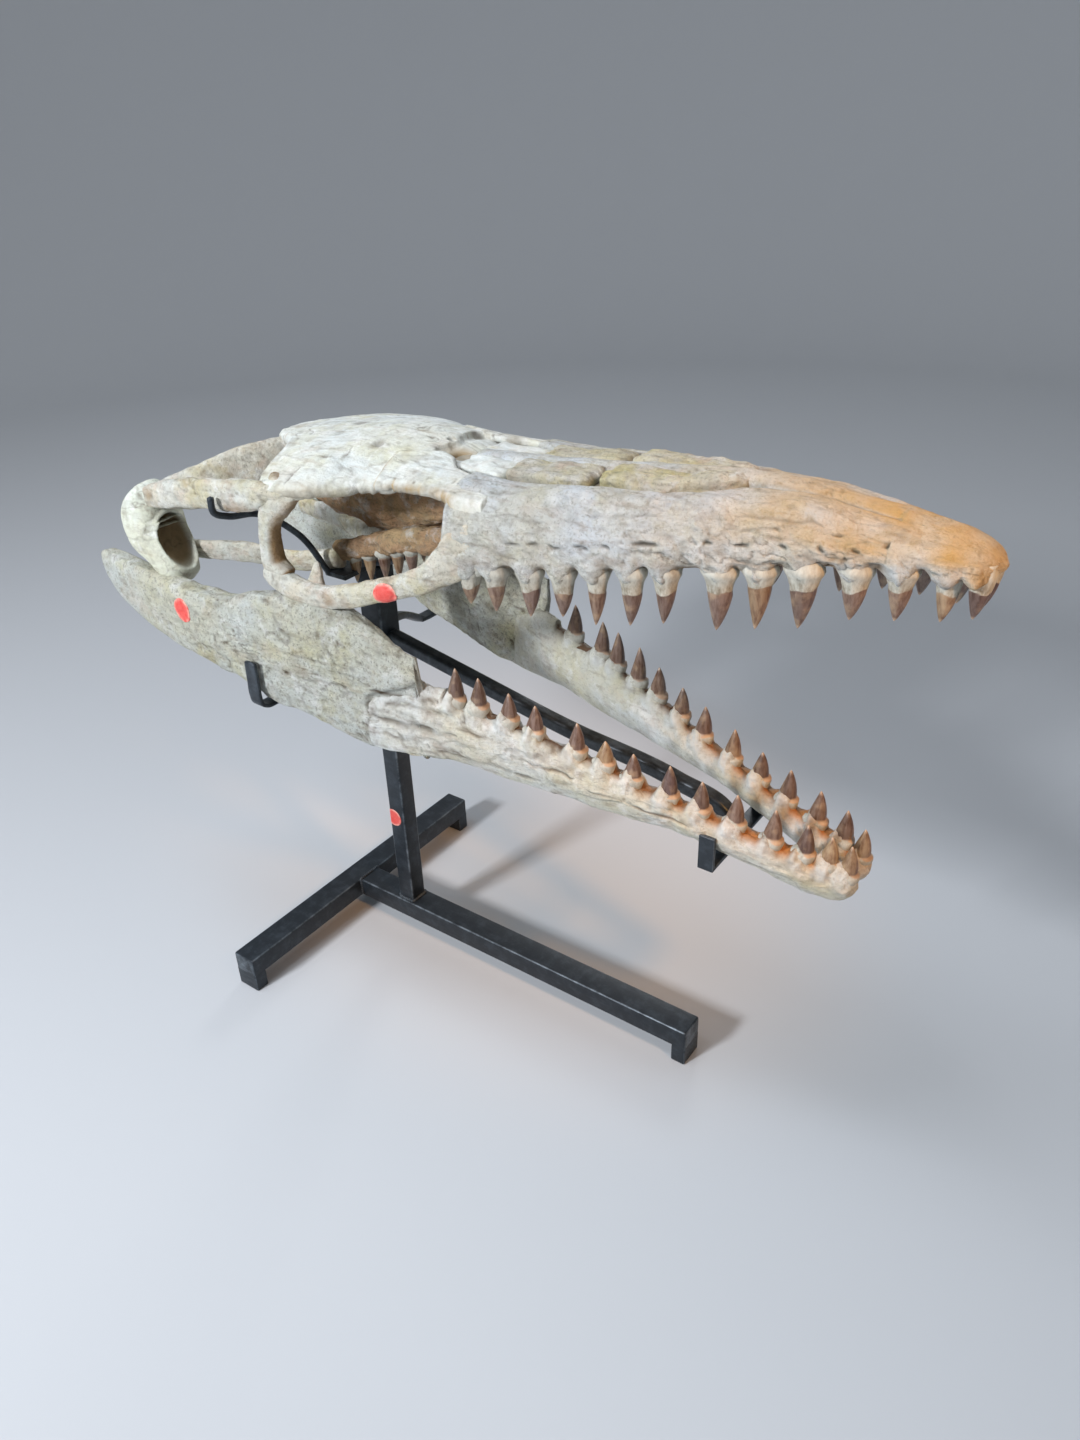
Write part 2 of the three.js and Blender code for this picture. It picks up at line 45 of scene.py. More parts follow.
level_down = view_forward.cross(level_right)
view_right = cos(view_roll) * level_right - sin(view_roll) * level_down
view_down = cos(view_roll) * level_down + sin(view_roll) * level_right
photo_lens = bpy.data.cameras.new("photo_view")
photo_lens.lens = 27
photo_lens.sensor_width = 36
photo_camera = bpy.data.objects.new("photo_view", photo_lens)
photo_turn = Matrix((view_right, -view_down, -view_forward)).transposed().to_4x4()
photo_camera.matrix_world = Matrix.Translation((0.586, -0.726, 0.88575)) @ photo_turn
bpy.context.scene.collection.objects.link(photo_camera)
bpy.context.scene.camera = photo_camera


# The room. A plain pale floor, broad cool studio light from the visitor's side and overhead, a soft fill
# from behind, and one warm gallery lamp ahead of the snout, which gives its tip the orange glow.
def linear(colour):
    """sRGB hex to linear RGBA: c/12.92 below 0.04045, else ((c + 0.055) / 1.055) to the power 2.4."""
    c = np.array([int(colour[i:i + 2], 16) for i in (1, 3, 5)]) / 255
    c = np.where(c < 0.04045, c / 12.92, ((c + 0.055) / 1.055) ** 2.4)
    return (*c.tolist(), 1.0)


def node(tree, kind, settings=None, **links):
    """Adds one shader node, sets its fields and sockets, and links its input sockets. A socket goes by its
    name, or by its number: a plain one in the settings, one after an underscore in the links."""
    made = tree.nodes.new("ShaderNode" + kind)
    for key, value in (settings or {}).items():
        if isinstance(key, str) and hasattr(made, key):
            setattr(made, key, value)
        else:
            made.inputs[key].default_value = value
    for key, source in links.items():
        tree.links.new(source, made.inputs[int(key[1:]) if key[0] == "_" else key.replace("_", " ")])
    return made


floor_paint = bpy.data.materials.new("matt_floor_paint")
floor_paint.use_nodes = True
floor_surface = floor_paint.node_tree.nodes["Principled BSDF"]
floor_surface.inputs["Base Color"].default_value = linear("#C8CACC")
floor_surface.inputs["Roughness"].default_value = 0.9
# the floor is a disc that turns up far behind the object, so that no horizon shows
flat_reach, bend, wall_top, cove_sides = 3.2, 1.6, 3.6, 96
bend_angle = np.linspace(0, np.pi / 2, 16)
cove_r = np.concatenate([np.linspace(0.02, flat_reach, 12), flat_reach + bend * np.sin(bend_angle),
                         [flat_reach + bend]])
cove_z = np.concatenate([np.zeros(12), bend - bend * np.cos(bend_angle), [wall_top]])
cove_a = np.linspace(0, 2 * np.pi, cove_sides, endpoint=False)
cove_points = np.stack([cove_r[:, None] * np.cos(cove_a), cove_r[:, None] * np.sin(cove_a),
                        cove_z[:, None] + 0 * cove_a], -1).reshape(-1, 3)
cove_i, cove_j = np.meshgrid(np.arange(len(cove_r) - 1) * cove_sides, np.arange(cove_sides), indexing="ij")
cove_k = (cove_j + 1) % cove_sides
cove_faces = np.stack([cove_i + cove_j, cove_i + cove_sides + cove_j, cove_i + cove_sides + cove_k,
                       cove_i + cove_k], -1).reshape(-1, 4)
floor_mesh = bpy.data.meshes.new("floor")
floor_mesh.from_pydata(cove_points.tolist(), [], cove_faces.tolist() + [list(range(cove_sides))])
floor_mesh.polygons.foreach_set("use_smooth", np.ones(len(floor_mesh.polygons), bool))
floor_mesh.materials.append(floor_paint)
floor = bpy.data.objects.new("floor", floor_mesh)
bpy.context.scene.collection.objects.link(floor)

room = bpy.data.worlds.new("pale_room")
room.use_nodes = True
room.node_tree.nodes["Background"].inputs["Color"].default_value = linear("#DDE3EA")
room.node_tree.nodes["Background"].inputs["Strength"].default_value = 0.36
bpy.context.scene.world = room

for lamp_name, kind, place, aim, size, power, colour, cone in (
    ("cool_key", "AREA", (-0.6, -2.25, 1.6), (0, 0, 0.5), 0.35, 66, "#F4F8FF", None),
    ("cool_overhead", "AREA", (-0.4, -0.5, 2.8), (0, 0, 0.5), 1.0, 28, "#EEF4FF", None),
    ("warm_gallery_lamp", "SPOT", (1.35, -0.4, 1.45), (0.39, 0, 0.53), 0.09, 62, "#FFB65A", 24),
    ("rear_fill_spot", "SPOT", (-0.8, 2.1, 1.35), (0, 0, 0.45), 0.4, 70, "#F2F4F6", 34),
):
    lamp = bpy.data.lights.new(lamp_name, kind)
    lamp.energy = power
    lamp.color = linear(colour)[:3]
    if kind == "SPOT":
        lamp.spot_size = radians(cone)
        lamp.spot_blend = 1.0
        lamp.shadow_soft_size = size
    else:
        lamp.size = size
    lamp_object = bpy.data.objects.new(lamp_name, lamp)
    lamp_object.location = place
    lamp_object.rotation_euler = (Vector(aim) - Vector(place)).to_track_quat("-Z", "Y").to_euler()
    bpy.context.scene.collection.objects.link(lamp_object)
bpy.context.scene.view_settings.view_transform = "Standard"


# The lower jaw, rear half. On each side one deep plate of fossil bone, fused from several flat bones,
# glued at its front to the tooth bone. Weathered: pitted, flaking in thin layers, with long cracks.
def along(pairs, x, blur=8):
    """Value at x on a run of [x, value] pairs, averaged over a window so that the corners are rounded."""
    xs, values = np.array(pairs, float).T
    steps = blur * np.array([-1, -0.6, -0.25, 0.25, 0.6, 1])
    return np.mean([np.interp(x + s, xs, values) for s in steps], axis=0)


def lumps(points, size, seed):
    """Lattice noise, -1 to 1: random numbers at the corners of cells of the given size, blended
    by 3t²-2t³."""
    q = points / np.array(size, float) + seed * 7.31
    cell = np.floor(q).astype(np.int64)
    t = q - cell
    t = t * t * (3 - 2 * t)
    total = np.zeros(points.shape[:-1])
    for corner in range(8):
        step = np.array([corner & 1, corner >> 1 & 1, corner >> 2 & 1])
        key = ((cell + step) * np.array([73856093, 19349663, 83492791])).sum(-1) + seed * 9176
        key = (key ^ (key >> 13)) * 1274126177 & 0x7FFFFFFF
        key = (key ^ (key >> 15)) * 668265263 & 0x7FFFFFFF
        weight = np.where(step, t, 1 - t).prod(-1)
        total += weight * (((key ^ (key >> 14)) & 65535) / 32767.5 - 1)
    return total


def layered(points, size, seed, octaves=3):
    """Sum of lattice noises, each half the size and half the strength of the last, each turned a little."""
    turn = np.array([[0.80, 0.52, -0.30], [-0.44, 0.84, 0.32], [0.42, -0.13, 0.90]])
    total, weight, q = 0, 1, points
    for octave in range(octaves):
        total = total + weight * lumps(q, size / 2 ** octave, seed + octave)
        weight /= 2
        q = q @ turn
    return total


def outward(grid):
    """Unit direction out of the surface at each grid point: step around crossed with step along."""
    n = np.cross(np.roll(grid, -1, 1) - np.roll(grid, 1, 1), np.gradient(grid, axis=0))
    n /= np.linalg.norm(n, axis=2, keepdims=True) + 1e-9
    return n if (n * (grid - grid.mean(1, keepdims=True))).sum() > 0 else -n


def weather(points, seed, swell=1.0, lamp=0.5, grain=0.3, flake=0.8, crack=0.9, pit=0.7,
            crack_size=(70, 9, 9)):
    """Height and depth-of-shadow of worn fossil bone: broad swells, lumps, lengthwise grain, layers that
    have flaked off with a sharp step, cracks where long thin noise crosses zero, and small round pits."""
    high = swell * layered(points, 55.0, seed, 2) + lamp * layered(points, 15.0, seed + 3, 3)
    fibre = layered(points / np.array([7, 1, 1]), 3.2, seed + 7, 2)
    high = high + grain * fibre
    sheet = layered(points / np.array([2.6, 1, 1]), 22.0, seed + 11, 3)
    peel = sheet - 0.25
    high = high - flake * (1 / (1 + np.exp(-peel / 0.035)) + 0.6 / (1 + np.exp((sheet + 0.4) / 0.03)))
    split = lumps(points / np.array(crack_size) * 10, 10.0, seed + 17)
    split = split + 0.22 * layered(points, 9.0, seed + 19, 2)
    line = np.exp(-(split / 0.03) ** 2) * np.clip(layered(points, 38.0, seed + 23, 2) * 2.2 - 0.25, 0, 1)
    hole = np.clip((lumps(points, 5.5, seed + 29) - 0.66) / 0.2, 0, 1)
    hole = hole * np.clip(layered(points, 34.0, seed + 31, 1) * 2.5 - 0.2, 0, 1)
    edge = np.exp(-(peel / 0.05) ** 2) * 0.3
    low = np.clip(-layered(points, 7.0, seed + 37, 2) - 0.25, 0, 1)
    shade = np.clip(0.5 * line + 0.5 * hole + edge + 0.4 * low - 0.15 * fibre, 0, 1)
    return high - crack * line - pit * hole - 0.35 * low, shade


def ends_rounded(grid, length, last=None):
    """Draws the rings within the given length of each end in towards their middle on a quarter ellipse."""
    middle = grid.mean(1, keepdims=True)
    run = np.linalg.norm(np.diff(middle[:, 0], axis=0), axis=1)
    s = np.concatenate([[0], np.cumsum(run)])
    near = np.clip(np.minimum(s / length, (s[-1] - s) / (last or length)), 0.004, 1)
    return middle + (grid - middle) * np.sqrt(1 - (1 - near) ** 2)[:, None, None]


def add_piece(name, points, faces, material, replaces, marks):
    """Makes one smooth piece from points in millimetres, and keeps each mark, a number a point, on it."""
    mesh = bpy.data.meshes.new(name)
    mesh.from_pydata((points / 1000).tolist(), [], faces)
    mesh.polygons.foreach_set("use_smooth", np.ones(len(mesh.polygons), bool))
    for mark, values in marks.items():
        mesh.attributes.new(mark, "FLOAT", "POINT").data.foreach_set("value", values.astype(np.float32))
    mesh.materials.append(material)
    piece = bpy.data.objects.new(name, mesh)
    bpy.context.scene.collection.objects.link(piece)
    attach(piece, "root")
    if replaces:
        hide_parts(*replaces)


def ring_faces(rows, sides):
    """Quads between neighbouring rings, and fans from the first and last ring to the two poles, which are
    numbered after the rings."""
    r, c = np.meshgrid(np.arange(rows - 1), np.arange(sides), indexing="ij")
    d = (c + 1) % sides
    row, next_row = r * sides, (r + 1) * sides
    quads = np.stack([row + c, row + d, next_row + d, next_row + c], -1).reshape(-1, 4)
    ring = np.arange(sides)
    after, pole, last = (ring + 1) % sides, np.full(sides, rows * sides), (rows - 1) * sides
    first_fan = np.stack([after, ring, pole], -1)
    last_fan = np.stack([ring + last, after + last, pole + 1], -1)
    return quads, np.concatenate([first_fan, last_fan])


def closed_piece(name, grid, material, replaces, slot, **marks):
    """A grid of rings made one closed mesh, with a pole at each end and faces turned out. Marks are one
    number a point, kept as attributes for the material."""
    points = np.concatenate([grid.reshape(-1, 3), grid[0].mean(0)[None], grid[-1].mean(0)[None]])
    quads, fans = ring_faces(*grid.shape[:2])
    a, b, c, d = (points[quads[:, k]] for k in range(4))
    if (np.cross(b - a, c - a) * a).sum() + (np.cross(c - a, d - a) * a).sum() < 0:
        quads, fans = quads[:, ::-1], fans[:, ::-1]
    full = {mark: np.concatenate([v.reshape(-1), [v[0].mean(), v[-1].mean()]]) for mark, v in marks.items()}
    add_piece(name, points, quads.tolist() + fans.tolist(), material, replaces, full)


def new_material(name):
    """A new material, its node tree, its surface shader and the place on the object, in metres."""
    made = bpy.data.materials.new(name)
    made.use_nodes = True
    tree = made.node_tree
    return made, tree, tree.nodes["Principled BSDF"], node(tree, "TexCoord").outputs["Object"]


def fossil_bone(name, pale, cream, tinge, blush, hollow, warmth=0.35, speck=0.25, bump=0.7, rust_and_glow="#DDB266"):
    """Chalky fossil bone: a pale ground with broad cream clouds, tinges and blushes of mineral, fine dark
    grit, and then by the mesh's marks: white knobs with a painted cool white, stains in the hollow tone
    with painted shade and a painted warm glow, orange-brown with a painted warm glow, and painted brown
    shade in the cracks and hollows."""
    made, tree, surface, place = new_material(name)
    long_place = node(tree, "Mapping", {"Scale": (0.3, 1, 1)}, Vector=place).outputs[0]

    # each cloud is noise with a grain of so many millimetres, cut between two levels
    colour = {}
    for tone, size, low, high, most, where, detail in (
        (cream, 80, 0.4, 0.6, 1.0, place, 5.0), (tinge, 46, 0.5, 0.68, 1.8 * warmth, place, 5.0),
        (blush, 30, 0.52, 0.68, 1.3 * warmth, place, 5.0), ("#B4B5A4", 13, 0.5, 0.7, 0.42, place, 5.0),
        ("#F6F6F1", 19, 0.54, 0.66, 0.6, place, 5.0), (hollow, 8, 0.55, 0.72, 0.42, long_place, 5.0),
        ("#6E6552", 2.2, 0.56, 0.68, speck, place, 5.0),
        ("#8C8672", 5.0, 0.55, 0.66, 0.9 * speck, place, 8.0),
    ):
        noise = node(tree, "TexNoise", {"Scale": 1000 / size, "Detail": detail, "Roughness": 0.62},
                     Vector=where)
        share = node(tree, "MapRange", {"From Min": low, "From Max": high, "To Max": most},
                     Value=noise.outputs["Fac"])
        mix = node(tree, "Mix", {"data_type": "RGBA", 6: linear(pale), 7: linear(tone)},
                   Factor=share.outputs[0], **colour)
        colour = {"_6": mix.outputs[2]}
    # the marks: chalky white with a painted cool white, stains with painted shade and a painted glow,
    # orange-brown with a painted warm glow, and painted brown shade in cracks and hollows
    for mark, tone in (("chalk", "#E3E5E0"), ("stain", hollow), ("ochre", rust_and_glow), ("shade", "#5A4A36")):
        share = node(tree, "Attribute", {"attribute_name": mark}).outputs["Fac"]
        mix = node(tree, "Mix", {"data_type": "RGBA", 7: linear(tone)}, Factor=share, **colour)
        colour = {"_6": mix.outputs[2]}
    tree.links.new(mix.outputs[2], surface.inputs["Base Color"])
    surface.inputs["Roughness"].default_value = 0.78
    surface.inputs["IOR"].default_value = 1.5
    surface.inputs["Specular IOR Level"].default_value = 0.35
    grit = node(tree, "TexNoise", {"Scale": 1000 / 2.2, "Detail": 6.0, "Roughness": 0.7}, Vector=long_place)
    relief = node(tree, "Bump", {"Strength": bump, "Distance": 0.0024}, Height=grit.outputs["Fac"])
    pores = node(tree, "TexNoise", {"Scale": 1000 / 6.5, "Detail": 7.0, "Roughness": 0.75}, Vector=place)
    relief = node(tree, "Bump", {"Strength": bump, "Distance": 0.0044}, Height=pores.outputs["Fac"],
                  Normal=relief.outputs[0])
    tree.links.new(relief.outputs[0], surface.inputs["Normal"])
    return made


# Weathered jaw bone: matt and chalky, greenish grey with yellow mineral patches.
jaw_bone = fossil_bone("weathered_jaw_bone", "#DEE2DA", "#DFDDC8", "#D3CB94", "#D2C3AB", "#8E7857",
                       speck=0.62, bump=1.0)

jaw_middle = [[-442, 117], [-342, 124], [-262, 126], [-202, 123], [-160, 118], [-92, 108], [-16, 94],
              [56, 78], [130, 64], [269, 35], [323, 24], [368, 14.5], [379, 13.5]]
jaw_half_thickness = [[-442, 7], [-400, 12], [-262, 16], [-160, 15], [-16, 14], [130, 14], [269, 14],
                      [323, 13.5], [366, 12.5], [379, 7]]
jaw_lower_edge = [[-442, 455], [-433, 437], [-416, 423], [-375, 408], [-326, 395], [-262, 387], [-217, 381],
                  [-190, 366], [-159, 361], [-114, 350], [-68, 341], [13, 341], [58, 334], [117, 328],
                  [228, 318], [281, 304], [332, 287], [364, 284], [374, 291], [379, 300]]
jaw_upper_edge = [[-442, 468], [-433, 474], [-396, 473], [-335, 468], [-228, 467], [-205, 478], [-148, 487],
                  [-95, 483], [-50, 467], [-16, 450], [0, 449]]
dentary_upper_edge = [[-74, 395], [-12, 421], [3, 415], [61, 405], [128, 386], [155, 380], [191, 365],
                      [226, 356], [295, 338], [353, 325], [370, 317], [379, 307]]
both_sides = (("right", -1), ("left", 1))


def jaw_rings(side, x, upper_edge, power, thinned, spacing=1.6):
    """Upright rings through half a jaw: |y/half thickness|^p + |z/half height|^p = 1, at each x, with the
    inner face moved outward by twice the thinned distance."""
    low, high = along(jaw_lower_edge, x), along(upper_edge, x)
    sides = int((high - low).max() * 2.15 / spacing)
    a = np.linspace(0, 2 * np.pi, sides, endpoint=False)
    # the angle is warped so that the points lie evenly on a section much taller than it is thick
    a = a - 0.42 * np.sin(2 * a)
    c, s = np.cos(a), np.sin(a)
    size = (np.abs(c) ** power + np.abs(s) ** power) ** (-1 / power)
    thick, middle = along(jaw_half_thickness, x, 4), along(jaw_middle, x)
    y = side * (middle + thinned)[:, None] + (thick - thinned)[:, None] * c * size
    z = ((low + high) / 2)[:, None] + ((high - low) / 2)[:, None] * s * size
    return np.stack([np.broadcast_to(x[:, None], y.shape), y, z], -1)


def groove(points, x0, z0, x1, z1, half_width):
    """1 on the line from (x0, z0) to (x1, z1) seen from the side, wandering by noise, and falling
    to 0 as a bell."""
    span = np.array([x1 - x0, z1 - z0], float)
    stray = 3.2 * lumps(points, 19.0, 5) + 1.5 * lumps(points, 7.0, 6)
    away = points[..., [0, 2]] - np.array([x0, z0]) + np.stack([0 * stray, stray], -1)
    t = np.clip((away * span).sum(-1) / (span ** 2).sum(), 0, 1)
    miss = away - t[..., None] * span
    taper = np.clip(np.minimum(t, 1 - t) * 6, 0.25, 1)
    strength = np.clip(0.75 + 0.8 * lumps(points, 16.0, 8), 0.1, 1)
    return strength * np.exp(-((miss ** 2).sum(-1)) / (half_width * taper) ** 2)


def cut_grooves(points, height, shade, lines, where, dark):
    """Cuts each line, given as x0, z0, x1, z1, half width and depth, by the share where, and darkens it."""
    for *ends, wide, deep in lines:
        line = groove(points, *ends, wide) * where
        height = height - deep * line
        shade = np.maximum(shade, dark * line)
    return height, shade


# where the plate meets the tooth bone: an upright seam, and a ledge that falls backwards by its slope
seam_x, ledge_z, ledge_slope = -66, 427, 0.42
# long splits and strips near the seam
plate_splits = ((-60, 412, -6, 401, 3.0, 2.6), (-55, 388, -6, 382, 4.5, 3.2), (-150, 432, -70, 420, 1.4, 1.2),
                (-214, 402, -170, 396, 1.3, 1.1), (-110, 374, -66, 372, 1.2, 1.2),
                (-90, 452, -52, 444, 1.3, 1.2))

for label, side in both_sides:
    seed = 11 if side < 0 else 57
    x = np.arange(-442, -9.9, 1.6)
    rings = ends_rounded(jaw_rings(side, x, jaw_upper_edge, 4, np.interp(x, [-80, -22], [0, 10])), 8, 1.2)
    out = outward(rings)
    height, shade = weather(rings, seed, swell=1.1, lamp=0.85, grain=0.4, flake=1.1, crack=1.3, pit=1.3)
    shade = np.clip(1.3 * shade, 0, 1)
    outer = np.clip(out[..., 1] * side * 2, 0, 1)
    x, z = rings[..., 0], rings[..., 2]
    smooth_tip = 1 / (1 + np.exp((x + 300) / 14))
    height = height * (1 - 0.65 * smooth_tip)
    shade = shade * (1 - 0.7 * smooth_tip)
    height, shade = cut_grooves(rings, height, shade, plate_splits, outer, 0.75)
    # under a crisp front corner the plate sinks below the tooth bone, along ragged lines
    stray = 4 * lumps(rings, 9.0, seed) + 2.5 * lumps(rings, 3.5, seed + 1)
    seam = np.minimum(x - seam_x + stray, ledge_z + ledge_slope * (x + 4) - z + 0.4 * stray)
    below = 1 / (1 + np.exp(-seam / 0.9))
    sunk = outer * below
    height = height * (1 - sunk) - 4.0 * sunk
    height -= 6 * np.clip((x + 62) / 12, 0, 1) * np.clip(-out[..., 2] * 2, 0, 1)
    shade = np.clip(shade + 0.35 * outer * np.exp(-(seam / 2.2) ** 2), 0, 1)
    stain = np.clip(layered(rings, 26.0, seed + 41, 2) - 0.5, 0, 1) * 0.8
    rings = rings + out * height[..., None]
    rings[..., 1] -= side * 5 * np.clip((x + 26) / 8, 0, 1) * (1 - outer) * below
    if label == "right":
        dotted_jaw = rings
    closed_piece(f"jaw_rear_{label}", rings, jaw_bone, [f"postdentary_{label}"], "bone", shade=shade,
                 stain=stain)


# The tooth bones of the lower jaw. Each carries its teeth along the top edge: every tooth stands in a
# chalky collar of bone, and between the collars the edge dips into hollows coloured brown, which towards
# the front also hold a painted orange glow of the warm lamp.
lower_tooth_x = {"right": [17, 39, 68, 93, 132, 158, 183, 215, 243, 273, 305, 332, 352, 368],
                 "left": [32, 69, 89, 116, 141, 170, 197, 231, 262, 292, 323, 350, 368]}
lower_tooth_length = {"right": [30, 28, 24, 24, 26, 20, 23, 28, 26, 28, 29, 27, 25, 28],
                      "left": [32, 33, 34, 35, 29, 28, 29, 28, 26, 29, 29, 29, 27]}

# Tooth bone: cleaner and whiter than the rest of the jaw, orange-brown in the sockets towards the front,
# where earth stayed and where a painted glow of the warm lamp is laid on.
tooth_bone = fossil_bone("chalky_tooth_bone", "#DDE0DC", "#DDDAC8", "#CFC69E", "#D2C3B2", "#6E543F",
                         warmth=0.34, speck=0.3, rust_and_glow="#CF8A4C")

first_socket, last_socket = 8, 374
tooth_bone_cracks = ((-52, 399, 20, 399, 2.2, 2.6), (-62, 380, 24, 378, 4.0, 3.4),
                     (-66, 364, -6, 360, 1.8, 1.8), (-30, 410, 8, 410, 1.4, 1.6),
                     (92, 365, 138, 361, 1.5, 2.0), (20, 388, 90, 372, 1.5, 1.2),
                     (-10, 357, 110, 346, 1.8, 1.4), (150, 352, 240, 336, 1.6, 1.1),
                     (262, 318, 330, 303, 1.4, 1.1))

for label, side in both_sides:
    seed = 23 if side < 0 else 71
    x = np.arange(-70, 378.9, 1.45)
    rings = jaw_rings(side, x, dentary_upper_edge, np.interp(x, [-45, 25], [3.4, 1.5])[:, None], 0 * x)
    # its rear end thins out on the inner side
    far_in = (rings[..., 1] * side - along(jaw_middle, x)[:, None])
    rings[..., 1] -= side * np.clip(far_in, -99, 0) * (1 - np.clip((x + 70) / 70, 0.05, 1) ** 0.7)[:, None]
    rings = ends_rounded(rings, 3, 7)
    out = outward(rings)
    height, shade = weather(rings, seed, swell=0.8, lamp=0.6, flake=1.0, crack=1.1, pit=0.6)
    x, y, z = rings[..., 0], rings[..., 1], rings[..., 2]
    inner = np.clip(-out[..., 1] * side * 2, 0, 1)
    height *= 1 - 0.6 * inner
    shade *= 1 - 0.75 * inner
    rim = along(dentary_upper_edge, x)
    places = np.array(lower_tooth_x[label], float)
    gap = np.abs(x[..., None] - places).min(-1)
    nearest = np.abs(x[..., None] - places).argmin(-1)
    wobble = 2.5 * lumps(rings, 13.0, seed + 5)
    upper = np.clip(1 - (rim - z) / 26, 0, 1)
    behind = np.abs(x[..., None] + 2.5 - places).min(-1)
    collar = np.exp(-((behind + wobble) / 8.0) ** 2 - ((rim - z - 4) / 10) ** 2)
    between = np.clip((gap + wobble - 6.5) / 3, 0, 1) * np.exp(-((rim - z - 1) / 7.0) ** 2)
    between *= (x > first_socket) * (x < last_socket)
    top = np.clip(out[..., 2] * 1.5, 0, 1)
    trough = top * np.clip(1.3 - np.abs(y - side * along(jaw_middle, x)) / 8, 0, 1)
    knob = layered(rings, 7.0, seed + 15, 2)
    height = height + (6.6 + 1.6 * knob) * collar - between * (2.6 + 8 * trough)
    height += 2.2 * upper * lumps(rings, 8.0, seed + 9)
    left_of = (x - places[nearest] + 3.0 + wobble) / 7.5
    chalk = np.exp(-left_of ** 2 - ((rim - z - 8) / 7.5) ** 2) * np.clip(0.7 + 0.6 * knob, 0, 0.9)
    chalk *= x > first_socket
    height += 1.1 * layered(rings, 3.4, seed + 25, 2) * upper * (x > first_socket)
    earth = np.clip((layered(rings, 10.0, seed + 13, 2) - 0.45) * 3, 0, 1)
    stain = np.clip(between * (0.4 + 1.4 * trough) + 0.5 * np.clip(upper - 0.35, 0, 1) * earth, 0, 1)
    # ahead of x 120 the sockets, and patches of the upper edge, take orange-brown earth together with a
    # painted glow of the warm lamp
    glow = np.clip((x - 120) / 200, 0, 1)
    patches = np.clip(lumps(rings, 14.0, seed + 21) + 0.3, 0, 1)
    ochre = glow * np.clip(0.95 * between + 0.3 * upper * patches * (1 - chalk) + 0.05, 0, 0.85)
    outer = np.clip(out[..., 1] * side * 2, 0, 1)
    height, shade = cut_grooves(rings, height, shade, tooth_bone_cracks, outer, 0.8)
    rings = rings + out * height[..., None]
    closed_piece(f"jaw_tooth_bone_{label}", rings, tooth_bone, [f"dentary_{label}"], "bone",
                 shade=shade, stain=stain, ochre=ochre, chalk=chalk)


# The teeth. Bluntly pointed cones of brown enamel with faint lengthwise facets, each on a grey chalky
# root. All teeth of one bone are one piece, because the real ones are cemented into it.
def tooth_grids(x, y, edge, length, radius, direction, forward, seed, flare=1.0, root_length=12, curl=0.07,
                slant=0.8):
    """Rings down each tooth: the radius follows a root that flares into the bone and a crown that bulges
    and then narrows, with 9 facets; the axis leans forward and then curls back towards the throat."""
    x, y, edge, length, radius = (np.broadcast_to(np.asarray(v, float), (len(x),))
                                  for v in (x, y, edge, length, radius))
    rng = np.random.default_rng(seed)
    rows, root_rows, sides = 30, 11, 28
    down = np.zeros((len(x), rows))
    share = np.linspace(0, 1, rows - root_rows + 1)[1:] ** 0.85
    crown_start = root_length * np.minimum(1, length / 34)[:, None] * rng.uniform(0.82, 1.22, (len(x), 1))
    down[:, :root_rows] = np.linspace(-9, 1, root_rows) + (crown_start - 1) * np.linspace(0, 1, root_rows)
    down[:, root_rows:] = crown_start + (length[:, None] - crown_start) * share
    root = 0.98 + 0.52 * flare * np.exp(-(np.maximum(down, 0) / 6.0) ** 1.3) * np.clip((down + 12) / 10, 0, 1)
    part = np.clip((down - crown_start) / (length[:, None] - crown_start), 0, 1)
    crown = 0.95 * (1 - part ** 1.35) ** 0.82 + 0.03
    thick = radius[:, None] * np.where(down < crown_start, root, crown)
    a = np.linspace(0, 2 * np.pi, sides, endpoint=False)
    facet = 1 + 0.035 * (part > 0)[..., None] * np.cos(9 * a + rng.uniform(0, 6, (len(x), 1, 1)))
    rough = 1 + 0.10 * (part == 0)[..., None] * rng.uniform(-1, 1, (len(x), 1, sides)) * np.ones((1, rows, 1))
    rough = (rough + np.roll(rough, 1, 2) + np.roll(rough, 2, 2)) / 3
    r = thick[..., None] * facet * np.where(part[..., None] > 0, 1, rough)
    reach = np.clip(down / length[:, None], 0, 1)
    lean = forward * length[:, None] * reach - curl * length[:, None] * reach ** 2.4
    grid = np.stack([x[:, None, None] + lean[..., None] + r * np.cos(a),
                     y[:, None, None] + 0.88 * r * np.sin(a),
                     edge[:, None, None] + direction * down[..., None] + 0 * r], -1)
    ragged = 1.2 * np.cos(a + rng.uniform(0, 6, (len(x), 1, 1)))
    ragged = ragged + 0.7 * np.cos(3 * a + rng.uniform(0, 6, (len(x), 1, 1)))
    past_root = (down - crown_start)[..., None] - 1.5 + slant * np.cos(a) + ragged
    crown_mark = np.clip(past_root / 2.2 + 0.5, 0, 1) + 0 * r
    tint = rng.uniform(0, 1, len(x))[:, None, None] + 0 * r
    # pale at the worn tip, and again where the root leaves the bone
    worn_end, neck = np.clip((part - 0.86) / 0.14, 0, 1), np.clip(1.15 - down / 9, 0, 1) * (part == 0)
    tip = (worn_end + neck)[..., None] + 0 * r
    return grid, crown_mark, tint, tip


